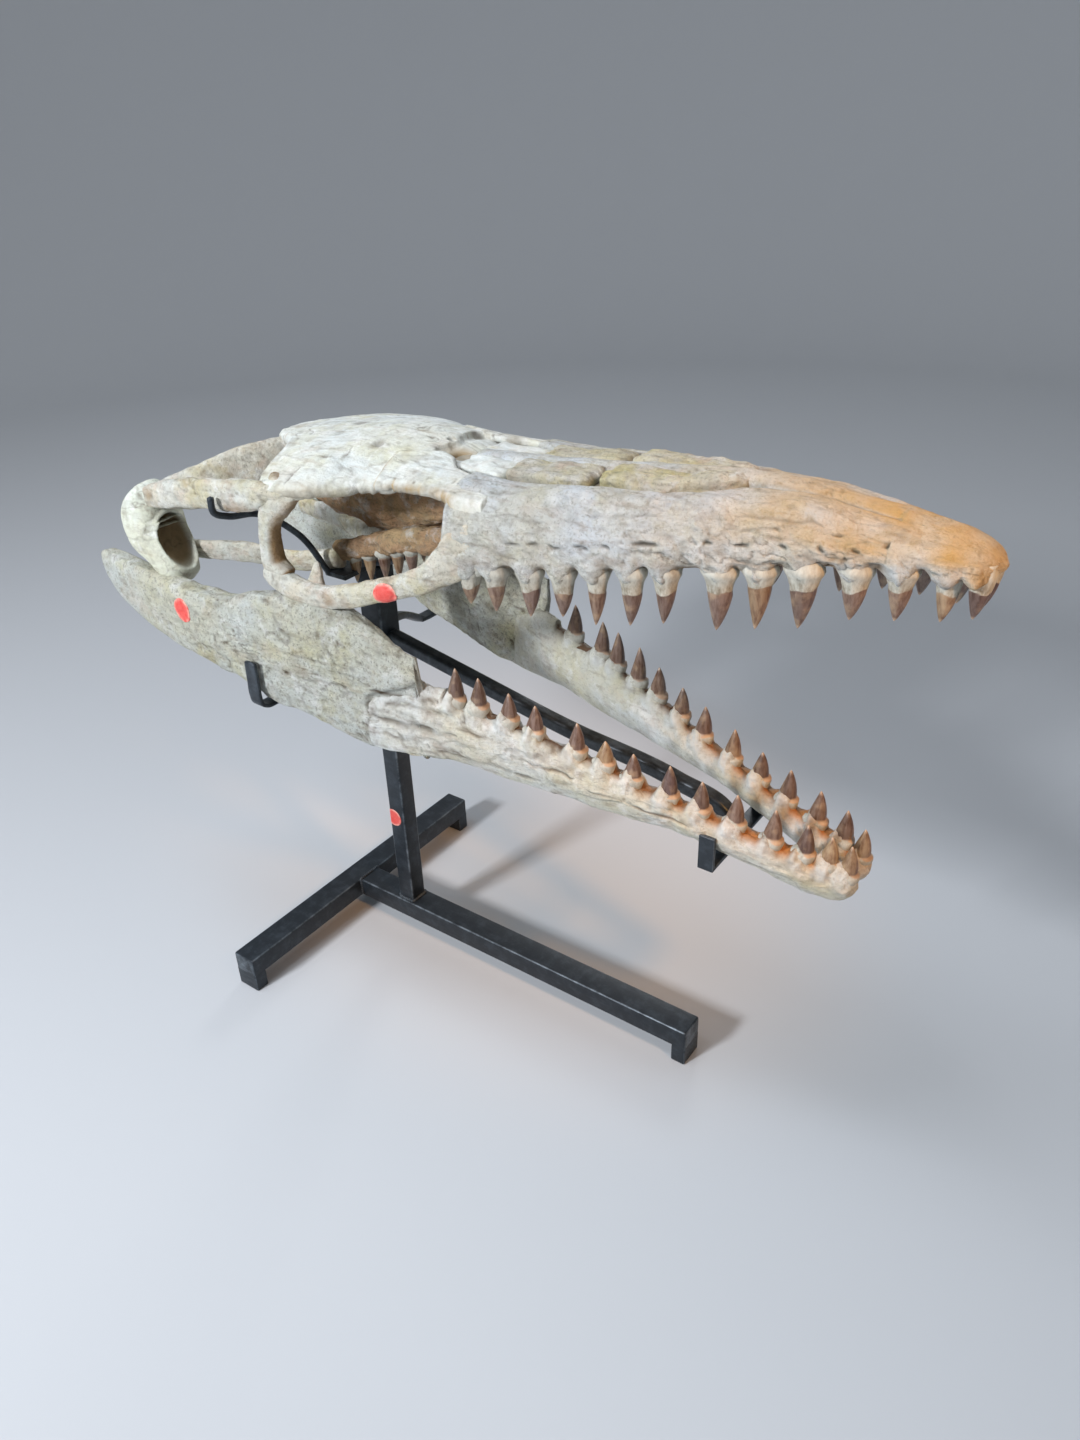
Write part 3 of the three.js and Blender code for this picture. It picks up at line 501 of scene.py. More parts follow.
def tooth_piece(name, parts, replaces):
    """Joins runs of tooth grids into one mesh of closed cones and keeps crown, tint and tip as attributes."""
    grid = np.concatenate([p[0] for p in parts])
    marks = {key: np.concatenate([p[i + 1] for p in parts]) for i, key in enumerate(("crown", "tint", "tip"))}
    count, rows, sides = grid.shape[:3]
    quads, fans = ring_faces(rows, sides)
    flip = (np.cross(grid[0, 1, 1] - grid[0, 1, 0], grid[0, 2, 0] - grid[0, 1, 0])
            @ (grid[0, 1, 0] - grid[0, 1].mean(0))) < 0
    if flip:
        quads, fans = quads[:, ::-1], fans[:, ::-1]
    start = np.arange(count)[:, None, None] * (rows * sides + 2)
    points = np.concatenate([grid.reshape(count, -1, 3), grid[:, 0].mean(1)[:, None],
                             grid[:, -1].mean(1)[:, None]], 1)
    faces = (quads[None] + start).reshape(-1, 4).tolist() + (fans[None] + start).reshape(-1, 3).tolist()
    full = {mark: np.concatenate([v.reshape(count, -1), v[:, 0, :1], v[:, -1, :1]], 1).reshape(-1)
            for mark, v in marks.items()}
    add_piece(name, points.reshape(-1, 3), faces, tooth_enamel, replaces, full)


# Fossil enamel and root: the crown is satin brown, from tan to purple brown tooth by tooth, streaked
# lengthwise and paler at a worn tip; the root is matt and pale grey like the bone.
tooth_enamel, tree, enamel, place = new_material("fossil_enamel")
crown, tint, tip = (node(tree, "Attribute", {"attribute_name": mark}).outputs["Fac"]
                    for mark in ("crown", "tint", "tip"))
streak_place = node(tree, "Mapping", {"Scale": (1, 1, 0.16)}, Vector=place).outputs[0]
streak = node(tree, "TexNoise", {"Scale": 1000 / 3.0, "Detail": 4.0, "Roughness": 0.6}, Vector=streak_place)
blotch = node(tree, "TexNoise", {"Scale": 1000 / 11, "Detail": 3.0}, Vector=place)
tints = node(tree, "ValToRGB", {}, Fac=tint)
tints.color_ramp.elements[0].color = linear("#A58C6C")
tints.color_ramp.elements[1].color = linear("#67524C")
for stop, colour in ((0.25, "#8E7458"), (0.5, "#7F685C"), (0.75, "#705A4C")):
    tints.color_ramp.elements.new(stop).color = linear(colour)
streaks = node(tree, "MapRange", {"From Min": 0.42, "From Max": 0.66}, Value=streak.outputs["Fac"])
clouds = node(tree, "MapRange", {"From Min": 0.5, "From Max": 0.72, "To Max": 0.55},
              Value=blotch.outputs["Fac"])
mix = node(tree, "Mix", {"data_type": "RGBA", "blend_type": "MULTIPLY", 7: linear("#B79C86")},
           Factor=streaks.outputs[0], _6=tints.outputs[0])
mix = node(tree, "Mix", {"data_type": "RGBA", 7: linear("#B79C7C")}, Factor=clouds.outputs[0],
           _6=mix.outputs[2])
crown_colour = node(tree, "Mix", {"data_type": "RGBA", 7: linear("#C4A78C")}, Factor=tip, _6=mix.outputs[2])
root_place = node(tree, "Mapping", {"Scale": (1, 1, 0.45)}, Vector=place).outputs[0]
root_grit = node(tree, "TexNoise", {"Scale": 1000 / 4, "Detail": 6.0, "Roughness": 0.7}, Vector=root_place)
root_colour = node(tree, "ValToRGB", {}, Fac=root_grit.outputs["Fac"])
for end, position, colour in ((0, 0.32, "#7E735F"), (1, 0.6, "#BFBBAC")):
    root_colour.color_ramp.elements[end].color = linear(colour)
    root_colour.color_ramp.elements[end].position = position
chalky = node(tree, "Math", {"operation": "MULTIPLY", 1: 0.45}, Value=tip)
root_neck = node(tree, "Mix", {"data_type": "RGBA", 7: linear("#C9C9BF")}, Factor=chalky.outputs[0],
                 _6=root_colour.outputs[0])
ragged = node(tree, "Math", {"operation": "MULTIPLY_ADD", 1: 0.9}, Value=blotch.outputs["Fac"], _2=crown)
is_crown = node(tree, "MapRange", {"From Min": 0.72, "From Max": 1.05}, Value=ragged.outputs[0])
whole = node(tree, "Mix", {"data_type": "RGBA"}, Factor=is_crown.outputs[0], _6=root_neck.outputs[2],
             _7=crown_colour.outputs[2])
tree.links.new(whole.outputs[2], enamel.inputs["Base Color"])
gloss = node(tree, "MapRange", {"To Min": 0.8, "To Max": 0.36}, Value=is_crown.outputs[0])
tree.links.new(gloss.outputs[0], enamel.inputs["Roughness"])
enamel.inputs["IOR"].default_value = 1.6
tooth_relief = node(tree, "Bump", {"Strength": 0.6, "Distance": 0.0011}, Height=root_grit.outputs["Fac"])
tree.links.new(tooth_relief.outputs[0], enamel.inputs["Normal"])

for label, side in both_sides:
    place_x = np.array(lower_tooth_x[label], float)
    grids = tooth_grids(place_x, side * along(jaw_middle, place_x), along(dentary_upper_edge, place_x) - 3,
                        np.array(lower_tooth_length[label]) + 1.0, 8.3, 1, 0.16, 5 if side < 0 else 6,
                        flare=0.7, root_length=3, curl=0.1, slant=3.6)
    tooth_piece(f"lower_teeth_{label}", [grids], [f"dentary_{label}"])


# The snout and upper jaw. A maxilla on each side and the premaxilla in front, whose narrow bar runs back
# between the nostrils. Long grain and cracks, a row of nerve openings, and roots flaring from the gum line.
snout_half_width = [[20, 99], [34, 98], [158, 78], [278, 57], [358, 42], [400, 33], [425, 26], [438, 15],
                    [442, 6]]
gum_height = [[20, 535], [117, 547], [224, 565], [311, 580], [370, 588], [420, 590], [442, 593]]
top_height = [[-20, 613], [50, 617], [117, 622], [173, 627], [245, 635], [304, 635], [371, 627], [410, 620],
              [430, 612], [442, 603]]
rim_height = [[20, 610], [80, 612], [121, 616], [158, 619], [209, 621], [248, 628], [304, 630], [392, 619]]
rim_half_gap = [[20, 42], [60, 48], [120, 47], [200, 40], [240, 26], [264, 13], [392, 13]]
upper_tooth_x = np.array([43, 67, 99, 128, 157, 186, 213, 255, 284, 315, 350, 380], float)
upper_tooth_length = np.array([30, 36, 39, 38, 45, 45, 43, 48, 47, 46, 38, 37], float)
upper_tooth_radius = np.array([8, 8.6, 8.6, 8.6, 7.8, 8.6, 8.2, 10, 9.4, 10, 9, 8.6])
snout_tooth_x = np.array([410, 429], float)
snout_tooth_length = np.array([35, 33], float)
snout_seed = 31
snout_wear = dict(swell=1.0, lamp=0.55, grain=0.35, flake=0.7, crack=0.8, pit=0.55)


def outline(corners, count, rounding):
    """Rings through the given corners, resampled evenly, then blurred along their length by a bell curve
    of the rounding distance, worked as a product on the ring's Fourier series."""
    closed = np.concatenate([corners, corners[:, :1]], 1)
    lengths = np.linalg.norm(np.diff(closed, axis=1), axis=2).mean(0)
    s = np.concatenate([[0], np.cumsum(lengths)])
    t = np.arange(count) / count * s[-1]
    k = np.searchsorted(s, t, "right") - 1
    f = ((t - s[k]) / lengths[k])[None, :, None]
    ring = closed[:, k] * (1 - f) + closed[:, k + 1] * f
    blur = np.exp(-0.5 * (2 * np.pi * np.fft.fftfreq(count) * rounding / s[-1] * count) ** 2)
    return np.fft.ifft(np.fft.fft(ring, axis=1) * blur[None, :, None], axis=1).real


def from_profile(x, corners, count, rounding):
    """Rings across the skull at each x through (y, z) corners given as columns."""
    pairs = np.stack([np.stack([np.broadcast_to(p, x.shape) for p in pair], -1) for pair in corners], 1)
    yz = outline(pairs.astype(float), count, rounding)
    return np.concatenate([np.broadcast_to(x[:, None, None], (*yz.shape[:2], 1)), yz], 2)


def gum_line(points, out, side, height):
    """Height with the tooth line added, and a brown mark: each root swells the bone above it, the edge arches
    up between roots, painted shade fills the arches in brown, and dust lies in a band above the gum."""
    x, z = points[..., 0], points[..., 2]
    places = np.concatenate([upper_tooth_x, snout_tooth_x])
    gap = np.abs(x[..., None] - places).min(-1)
    above = z - along(gum_height, x)
    outer = np.clip(out[..., 1] * side * 2 - 1.6 * out[..., 2], 0, 1)
    outer *= np.abs(points[..., 1]) > along(snout_half_width, x) - 26
    gap = np.abs(gap + 2.0 * lumps(points, 12.0, snout_seed))
    root = np.exp(-(gap / 8.0) ** 2 - (np.maximum(above, 0) / 14) ** 2)
    sleeve = np.exp(-(gap / 7.0) ** 2 - (above / 6) ** 2) * np.clip(-out[..., 2] * 1.5, 0, 1)
    arch = np.clip((gap - 8) / 5, 0, 1) * np.exp(-((above - 1) / 7.5) ** 2) * (x > 50)
    height = height + 3.2 * root * outer + 4.5 * sleeve - 5.0 * arch
    dusty = np.exp(-((above - 12) / 5) ** 2) * np.clip(lumps(points, 16.0, snout_seed) * 2, 0, 1)
    # painted shade in the arches, dust in the band above the gum
    return height, np.clip(0.8 * arch + 0.35 * dusty, 0, 1)


def gritty(points):
    """Wrinkles and pits, up to about 1.5 mm, on the lower half of the snout's front, strongest ahead
    of x 210."""
    low = np.clip((610 - points[..., 2]) / 16, 0, 1) * np.clip((points[..., 0] - 120) / 90, 0.25, 1)
    stretched = points / np.array([1.7, 1, 1])
    pits = np.clip((lumps(points, 4.5, 307) - 0.6) / 0.25, 0, 1)
    creases = np.exp(-(layered(stretched, 9.0, 311, 3) / 0.09) ** 2)
    return low * (0.9 * layered(stretched, 6.5, 301, 3) - 0.7 * pits - 1.3 * creases)


def front_chalk(points):
    """Share of a painted cool white, which keeps the warm lamp's glow off: the lower half of the snout ahead
    of x 220, in clouds 16 mm across.
    """
    low = np.clip((606 - points[..., 2]) / 14, 0, 1) * np.clip((points[..., 0] - 220) / 60, 0, 1)
    return 0.6 * low * np.clip(0.65 + 0.6 * layered(points, 16.0, 313, 2), 0, 1)


def front_ochre(points, out):
    """Share of orange-brown stain and painted warm glow: it grows from x 170 to the tip, most on what faces
    up, as the painted glow of the warm lamp, in clouds 30 mm across.
    """
    x = points[..., 0]
    clouds = np.clip(0.65 + 0.6 * layered(points, 30.0, 91, 2), 0.1, 1)
    # painted light: what faces up takes more of the warm glow
    up = np.clip(out[..., 2] * 1.4 + 0.35, 0.12, 1)
    return np.clip((x - 170) / 200, 0, 1) * clouds * np.maximum(up, np.clip((x - 405) / 30, 0, 1)) * 0.9


# Snout bone: cool white and fibrous, cream to rosy in clouds, with sandy earth and painted shade in its
# hollows.
snout_bone = fossil_bone("fibrous_snout_bone", "#E5EBED", "#E4E3D6", "#D8D0A8", "#DCCCBD", "#9C7F5E",
                         warmth=0.3, speck=0.36, bump=1.0)

nerve_openings = ((90, 572, 7, 1.1, -3), (108, 574, 4, 1.1, 4), (127, 575, 5, 1.1, 0), (150, 577, 6, 1.1, -2),
                  (170, 581, 3, 1.2, 0), (201, 588, 10, 1.4, 6), (273, 597, 5, 1.3, 18),
                  (302, 600, 3, 1.1, -24), (328, 602, 2.6, 1.2, -34), (351, 604, 3, 1.1, -20),
                  (371, 609, 3, 1.1, 25), (248, 596, 3, 1.1, 0), (296, 611, 2.4, 0.7, -15),
                  (338, 611, 2.2, 0.7, 10), (345, 598, 1.6, 0.7, -50))
snout_cracks = ((62, 590, 118, 593, 1.4, 1.3), (150, 603, 205, 608, 1.3, 1.2), (44, 568, 96, 561, 1.3, 0.9),
                (170, 598, 188, 600, 1.2, 1.1), (196, 621, 196, 613, 1.0, 1.2),
                (211, 621, 211, 613, 1.0, 1.2), (196, 613, 211, 613, 1.0, 1.2),
                (262, 616, 326, 618, 1.3, 1.2), (262, 604, 300, 612, 1.2, 1.0),
                (330, 612, 382, 613, 1.2, 1.2), (60, 604, 92, 608, 1.2, 1.2))

# w, g and gap are the half width, the gum line's height and the half gap of the nostrils at each x
for label, side in both_sides:
    x = np.arange(24, 389.5, 1.4)
    w, g, rim, gap = (along(pairs, x) for pairs in (snout_half_width, gum_height, rim_height, rim_half_gap))
    rings = from_profile(x, [(side * p[0], p[1]) for p in (
        (0.15, g + 20), (0.5 * w, g + 17), (w - 24, g + 5), (w - 19, g), (w - 5, g), (w, g + 9),
        (w - 2, g + 0.45 * (rim - g)), (w - 9, g + 0.75 * (rim - g)), ((w + gap) / 2, rim - 3),
        (gap + 2, rim), (gap, rim - 3), (gap - 2, rim - 15), (0.15, rim - 15))], 210, 2.2)
    out = outward(rings)
    height, shade = weather(rings, snout_seed, **snout_wear)
    shade *= 0.6
    outer = np.clip(out[..., 1] * side * 2, 0, 1)
    stray = 1.3 * lumps(rings, 6.0, 77)
    for cx, cz, long_half, tall_half, tilt in nerve_openings:
        dx, dz = rings[..., 0] - cx, rings[..., 2] - cz + stray
        u = dx * cos(radians(tilt)) + dz * sin(radians(tilt))
        v = -dx * sin(radians(tilt)) + dz * cos(radians(tilt))
        hole = np.exp(-((u / long_half) ** 4 + (v / tall_half) ** 2)) * outer
        lip = np.exp(-((u / (long_half + 3)) ** 4 + ((v - 2.5) / (tall_half + 1.6)) ** 2)) * outer
        height += 0.9 * lip - min(4.2, 3.2 * tall_half) * hole
        shade = np.maximum(shade, min(0.85, 0.6 * tall_half) * hole)
    height, shade = cut_grooves(rings, height, shade, snout_cracks, outer, 0.4)
    # a raised swirl of bone above the eighth tooth
    swirl = np.hypot(rings[..., 0] - 247, 1.5 * (rings[..., 2] - 610))
    height += outer * (1.6 * np.exp(-((swirl - 12) / 3.2) ** 2) - 1.4 * np.exp(-(swirl / 6) ** 2))
    height, stain = gum_line(rings, out, side, height)
    rough = gritty(rings)
    height = height + rough - 2.5 * np.clip((rings[..., 0] - 380) / 9, 0, 1) ** 2
    shade = np.clip(shade + 0.42 * np.clip(-rough, 0, 1), 0, 1)
    # a painted cool white on the lower front, and orange-brown stain with a painted warm glow on what faces
    # up, taken off under the white
    chalk = front_chalk(rings)
    ochre = front_ochre(rings, out) * (1 - 1.2 * chalk)
    rings = rings + out * height[..., None]
    closed_piece(f"upper_jaw_{label}", rings, snout_bone, [f"maxilla_{label}"], "bone",
                 shade=shade, stain=stain, ochre=ochre, chalk=chalk)
    grids = tooth_grids(upper_tooth_x, side * (along(snout_half_width, upper_tooth_x) - 11),
                        along(gum_height, upper_tooth_x) + 1, upper_tooth_length, upper_tooth_radius, -1,
                        0.05, 9 if side < 0 else 10)
    tooth_piece(f"upper_teeth_{label}", [grids], [f"maxilla_{label}"])

tip_start, tip_reach, blunt_start, blunt_reach, tip_limit = 384, 58, 432, 10.3, 441.6
x = tip_start + tip_reach * np.sin(np.linspace(-0.14, 0.998, 60) * np.pi / 2)
w, g, t = along(snout_half_width, x, 2), along(gum_height, x, 2), along(top_height, x, 2)
# t is the top's height; by f the shoulders go from the upper jaw's own line to a rounder section
f = np.clip((x - 386) / 28, 0, 1)
# the hollow of the palate fills up towards the tip
hollow = 8 - 6.5 * np.clip((x - 412) / 20, 0, 1)
half_tip = [(0.45 * w, g + hollow), (w - 5 * (1 - f) - 0.15 * w * f, g), (w, g + 9 - 3 * f),
            (w - 2 + f, g + (0.42 + 0.08 * f) * (t - g)),
            (w - 9 + 9 * f - 0.3 * w * f, g + (0.66 + 0.14 * f) * (t - g)),
            (0.42 * w, t - 5.5 + 3 * f), (0.2 * w, t - 1.2)]
rings = from_profile(x, [(-y, z) for y, z in half_tip] + [(y, z) for y, z in half_tip[::-1]], 150, 2.5)
blunt = np.sqrt(1 - np.clip((x - blunt_start) / blunt_reach, 0, 1) ** 2)[:, None, None]
rings[..., 1:] = rings[..., 1:].mean(1, keepdims=True) * (1 - blunt) + rings[..., 1:] * blunt
out = outward(rings)
height, shade = weather(rings, snout_seed, **snout_wear)
height *= 1 - 0.45 * f[:, None]
shade *= 0.6 - 0.2 * f[:, None]
fade = np.clip((440 - rings[..., 0]) / 14, 0, 1)
height, stain = gum_line(rings, out, np.sign(rings[..., 1]), height)
rough = gritty(rings)
height = height + rough
shade = np.clip(shade + 0.35 * np.clip(-rough, 0, 1), 0, 1)
tip_cracks = ((398, 598, 432, 598, 1.3, 1.6), (404, 603, 436, 601, 1.2, 1.2), (400, 607, 428, 605, 1.1, 0.8),
              (408, 594, 434, 595, 1.0, 0.9))
for side in (-1, 1):
    near = np.clip(out[..., 1] * side * 2, 0, 1)
    height, shade = cut_grooves(rings, height, shade, tip_cracks, near, 0.35)
ochre = front_ochre(rings, out)
rings = rings + out * (height * fade)[..., None]
rings[..., 0] = np.minimum(rings[..., 0], tip_limit)
closed_piece("snout_tip", rings, snout_bone, ["premaxilla"], "bone", shade=shade * fade, stain=stain * fade,
             ochre=ochre)

x = np.arange(-4, 398, 1.5)
t = along(top_height, x) - 0.8 - 2.0 * np.clip((x - 360) / 34, 0, 1)
low = along(rim_height, x) - 18
half = 11.5
rings = from_profile(x, [(-half, low), (-half, t - 5), (3 - half, t - 1.5), (0, t), (half - 3, t - 1.5),
                         (half, t - 5), (half, low)], 56, 2.0)
out = outward(rings)
height, shade = weather(rings, 107, swell=0.7, lamp=0.5, grain=0.3, flake=0.6, crack=0.9, pit=0.4)
ochre = front_ochre(rings, out)
rings = rings + out * height[..., None]
closed_piece("nasal_bar", rings, snout_bone, ["premaxilla"], "bone", shade=0.6 * shade, stain=0 * shade,
             ochre=ochre)
grids = [tooth_grids(snout_tooth_x, side * (along(snout_half_width, snout_tooth_x, 2) - 12),
                     along(gum_height, snout_tooth_x) + 1, snout_tooth_length, 7.6, -1, 0.02, 15 + side,
                     flare=0.5, root_length=10) for _, side in both_sides]
tooth_piece("snout_teeth", grids, ["premaxilla"])


# What is left of the rock in the nostrils: sandy matrix and two long blocks of bone on each side of the
# nasal bar, with dark crevices round them, which are painted shade laid on the darkened matrix.
# Phosphate matrix: gritty, dull, pinkish to yellow-green.
matrix_rock = fossil_bone("phosphate_matrix", "#E4E0D0", "#E0D8B4", "#DBD196", "#DDC6B2", "#806A4C",
                          warmth=0.5, speck=0.4, bump=1.0)
# Roof bone: the palest and smoothest on the skull, cool white with faint cream and a few yellow tinges.
roof_bone = fossil_bone("smooth_roof_bone", "#DFE4E0", "#E0E0D4", "#D2CB9C", "#D5C8B8", "#A08A66",
                        warmth=0.24, speck=0.14, bump=0.5)
below_roof_line = 633
for label, side in both_sides:
    seed = 41 if side < 0 else 43
    for block, (block_name, x0, x1, inner, drop, rise, tone) in enumerate((
        ("matrix", 4, 256, 3.0, 15.5, -6.5, 0.9), ("rear_block", 46, 134, 9.0, 12.0, 3.5, 0.05),
        ("front_block", 138, 256, 8.0, 12.0, 6.5, 0.0), ("chip", -16, 50, 8.0, 12.0, -1.0, 0.0),
    )):
        x = np.arange(x0, x1 + 0.1, 1.6)
        gap = along(rim_half_gap, x) + (1.0 if block == 0 else -3.0)
        rim = along(rim_height, x)
        inside = np.minimum(inner, gap - 6)
        arched = 1.5 * np.sin((x - x0) / (x1 - x0) * np.pi) if block else 0
        high = np.minimum(rim + rise + arched, below_roof_line)
        rings = from_profile(x, [(side * inside, rim - drop), (side * gap, rim - drop),
                                 (side * gap, high - 2.5), (side * (0.75 * gap + 0.25 * inside), high),
                                 (side * inside, high)], 64, 1.6)
        rings = ends_rounded(rings, 9) if block else rings
        out = outward(rings)
        height, shade = weather(rings, seed + block, swell=0.8, lamp=1.5, grain=0.7, flake=1.0, crack=1.2,
                                pit=1.4)
        rings = rings + out * height[..., None]
        # tone darkens the matrix as painted shade for the crevices round the blocks
        closed_piece(f"nostril_{block_name}_{label}", rings,
                     roof_bone if block_name == "chip" else matrix_rock, [f"naris_fill_{label}"], "matrix",
                     shade=np.clip(0.7 * shade + 0.5 * tone, 0, 1), stain=0 * shade + 0.5 * tone)


# The skull roof. A broad shallow dome of fused plates (parietal, frontal, postfrontals), smooth and very
# pale, with fine cracks, scalloped edges over the eyes and a broken front edge above the nostrils.
roof_height = [[-250, 600], [-191, 612], [-144, 618], [-100, 622], [-60, 623], [-17, 620], [60, 607]]
roof_edge_height = [[-250, 577], [-190, 584], [-150, 587], [-115, 590], [-70, 594], [-35, 597], [7, 600],
                    [60, 600]]
roof_edge = [[-190, 119], [-150, 119], [-115, 112], [-96, 99], [-70, 84], [-35, 79], [7, 80], [30, 90],
             [62, 84]]
roof_half_width = [[-246, 20], [-225, 32], [-205, 44], [-193, 56], [-187, 70], [-182, 95], [-176, 112],
                   [-168, 118], [-150, 118], [-115, 111], [-96, 99], [-70, 84], [-44, 78], [-30, 62],
                   [-16, 50], [6, 44]]


def dome(x, y):
    """Height of the roof: the midline height less a fall that grows with the square of y over
    the half width."""
    top = along(roof_height, x)
    return top - (top - along(roof_edge_height, x)) * (y / along(roof_edge, x)) ** 2


def broken_front(x, y):
    """Drop of the roof's front: a ragged step 6 mm down near x -30, then a slope to the nostrils."""
    ragged = x + 30 + 5 * lumps(np.stack([x + 0 * y, y + 0 * x, 0 * x * y], -1), 9.0, 77)
    return 6.0 / (1 + np.exp(-ragged / 0.8)) + 5.0 * np.clip((x + 22) / 26, 0, 1) ** 1.5


def plate_rings(x, inner, outer, depth, top_count, under_count):
    """Rings round a plate cut from the dome between two widths: evenly across the top, back underneath.
    Its top edges are rolled over, and it is thinner at the edges than in the middle."""
    rolled = 3.5
    u = np.linspace(0, 1, top_count)[None]
    v = np.linspace(1, 0, under_count + 2)[None, 1:-1]
    y_top = inner[:, None] * (1 - u) + outer[:, None] * u
    y_under = inner[:, None] * (1 - v) + outer[:, None] * v
    xs = x[:, None]
    edge = np.minimum(u, 1 - u) * np.abs(outer - inner)[:, None]
    z_top = dome(xs, y_top) - rolled * np.clip(1 - edge / 6, 0, 1) ** 2
    thin = np.clip(np.minimum(v, 1 - v) * np.abs(outer - inner)[:, None] / 8, 0, 1) ** 0.5
    z_under = dome(xs, y_under) - rolled - (depth(xs, y_under) - rolled) * (0.45 + 0.55 * thin)
    y = np.concatenate([y_top, y_under], 1)
    z = np.concatenate([z_top, z_under], 1)
    return np.stack([np.broadcast_to(xs, y.shape), y, z], -1)


def roof_depth(x, y):
    """Depth of the roof plate: 15 mm, thinning to 10 mm towards the nostrils."""
    return 15 - 5 * np.clip((x + 30) / 20, 0, 1) + 0 * y


def brow_depth(x, y):
    """Depth of the brow: 11 mm over the eye, 48 mm where its front wing goes down to the cheek."""
    return np.interp(x, [-62, -10, 22, 31, 40, 50, 62], [11, 11, 13, 24, 47, 48, 40]) + 0 * y


x = np.concatenate([np.arange(-246, -196, 1.8), np.arange(-196, -166, 0.7), np.arange(-166, -44, 1.6),
                    np.arange(-44, 4.5, 1.0)])
notches = 0.7 * layered(np.stack([x, 0 * x, 0 * x], -1), 5.0, 3, 2) + sum(
    -d * np.exp(-((x - c) / r) ** 2) for c, r, d in ((-78, 2, 1.6), (-112, 3, 1.2), (-60, 2, 1.4)))
half = along(roof_half_width, x, 3)
scallop = np.clip((x + 160) / 20, 0, 1) * notches
rings = plate_rings(x, -half - scallop, half + np.roll(scallop, 7), roof_depth, 150, 64)
rings[..., 2] -= broken_front(rings[..., 0], rings[..., 1]) * np.clip(outward(rings)[..., 2] + 0.5, 0, 1)
rings = ends_rounded(rings, 3)
out = outward(rings)
height, shade = weather(rings, 131, swell=1.0, lamp=0.4, grain=0.12, flake=0.5, crack=0.8, pit=0.3,
                        crack_size=(26, 22, 22))
y = rings[..., 1]
height *= 1 - 0.75 * np.clip((np.abs(y) - along(roof_half_width, rings[..., 0], 3) + 9) / 9, 0, 1)
top = np.clip(out[..., 2] * 2, 0, 1)
for cx, cy, wide, deep in ((-88, -42, 5, 3.0), (-30, 26, 5, 2.0), (-150, 0, 6, 1.5), (-13, -20, 9, 6.0),
                           (-6, 38, 8, 4.0)):
    pit = np.exp(-((rings[..., 0] - cx) ** 2 + (y - cy) ** 2) / wide ** 2) * top
    height -= deep * pit
    shade = np.maximum(shade, np.clip(pit, 0, 0.55))
rust_and_glow = np.exp(-((rings[..., 0] + 13) ** 2 + (y + 20) ** 2) / 11 ** 2) * top
brow = np.clip((np.abs(y) - along(roof_edge, rings[..., 0]) + 12) / 12, 0, 1) * (rings[..., 0] > -150)
stain = np.clip(brow * (0.15 + 0.3 * layered(rings, 34.0, 133, 2)), 0, 0.5)
# painted shade: the roof's underside is darkened
stain = stain + 0.7 * np.clip(-out[..., 2], 0, 1) + rust_and_glow
rings = rings + out * height[..., None]
closed_piece("skull_roof", rings, roof_bone,
             ["frontal", "parietal", "postfrontal_right", "postfrontal_left"], "bone", shade=shade,
             stain=np.clip(stain, 0, 1), ochre=0.6 * rust_and_glow)

for label, side in both_sides:
    seed = 141 if side < 0 else 149
    x = np.arange(-64, 63, 1.3)
    inside = np.interp(x, [-64, -20, -6, 4, 40, 62], [44, 30, 34, 45, 51, 52])
    edge = along(roof_edge, x) + 0.6 * layered(np.stack([x, 0 * x, 0 * x], -1), 3.6, seed, 2)
    edge -= 3 * np.exp(-((x + 44) / 2.5) ** 2)
    rings = plate_rings(x, side * inside, side * edge, brow_depth, 54, 60)
    rings = ends_rounded(rings + np.array([0, 0, 1.2]), 4)
    out = outward(rings)
    height, shade = weather(rings, seed, swell=0.9, lamp=0.5, grain=0.2, flake=0.6, crack=0.9, pit=0.5,
                            crack_size=(34, 16, 16))
    height *= 1 - 0.7 * np.clip((np.abs(rings[..., 1]) - edge[:, None] + 8) / 8, 0, 1) * (x < 30)[:, None]
    # faces turned back into the eye opening get painted shade, and below z 602 a painted orange glow
    stain = np.clip(-out[..., 0] * 0.9 * (rings[..., 0] < 45), 0, 0.9)
    stain += 0.3 * np.clip(layered(rings, 14.0, seed, 2), 0, 1)
    rust_and_glow = np.clip(-out[..., 0], 0, 1) * (rings[..., 2] < 602) * 0.5
    rim = np.clip(1 - (edge[:, None] - np.abs(rings[..., 1])) / 3.5, 0, 1) * (x < 30)[:, None]
    stain = stain + rim * np.clip(0.3 + 0.4 * layered(rings, 20.0, seed + 4, 2), 0.05, 0.7)
    rings = rings + out * height[..., None]
    closed_piece(f"brow_{label}", rings, roof_bone, [f"prefrontal_{label}"], "bone", shade=shade,
                 stain=np.clip(stain, 0, 1), ochre=rust_and_glow)


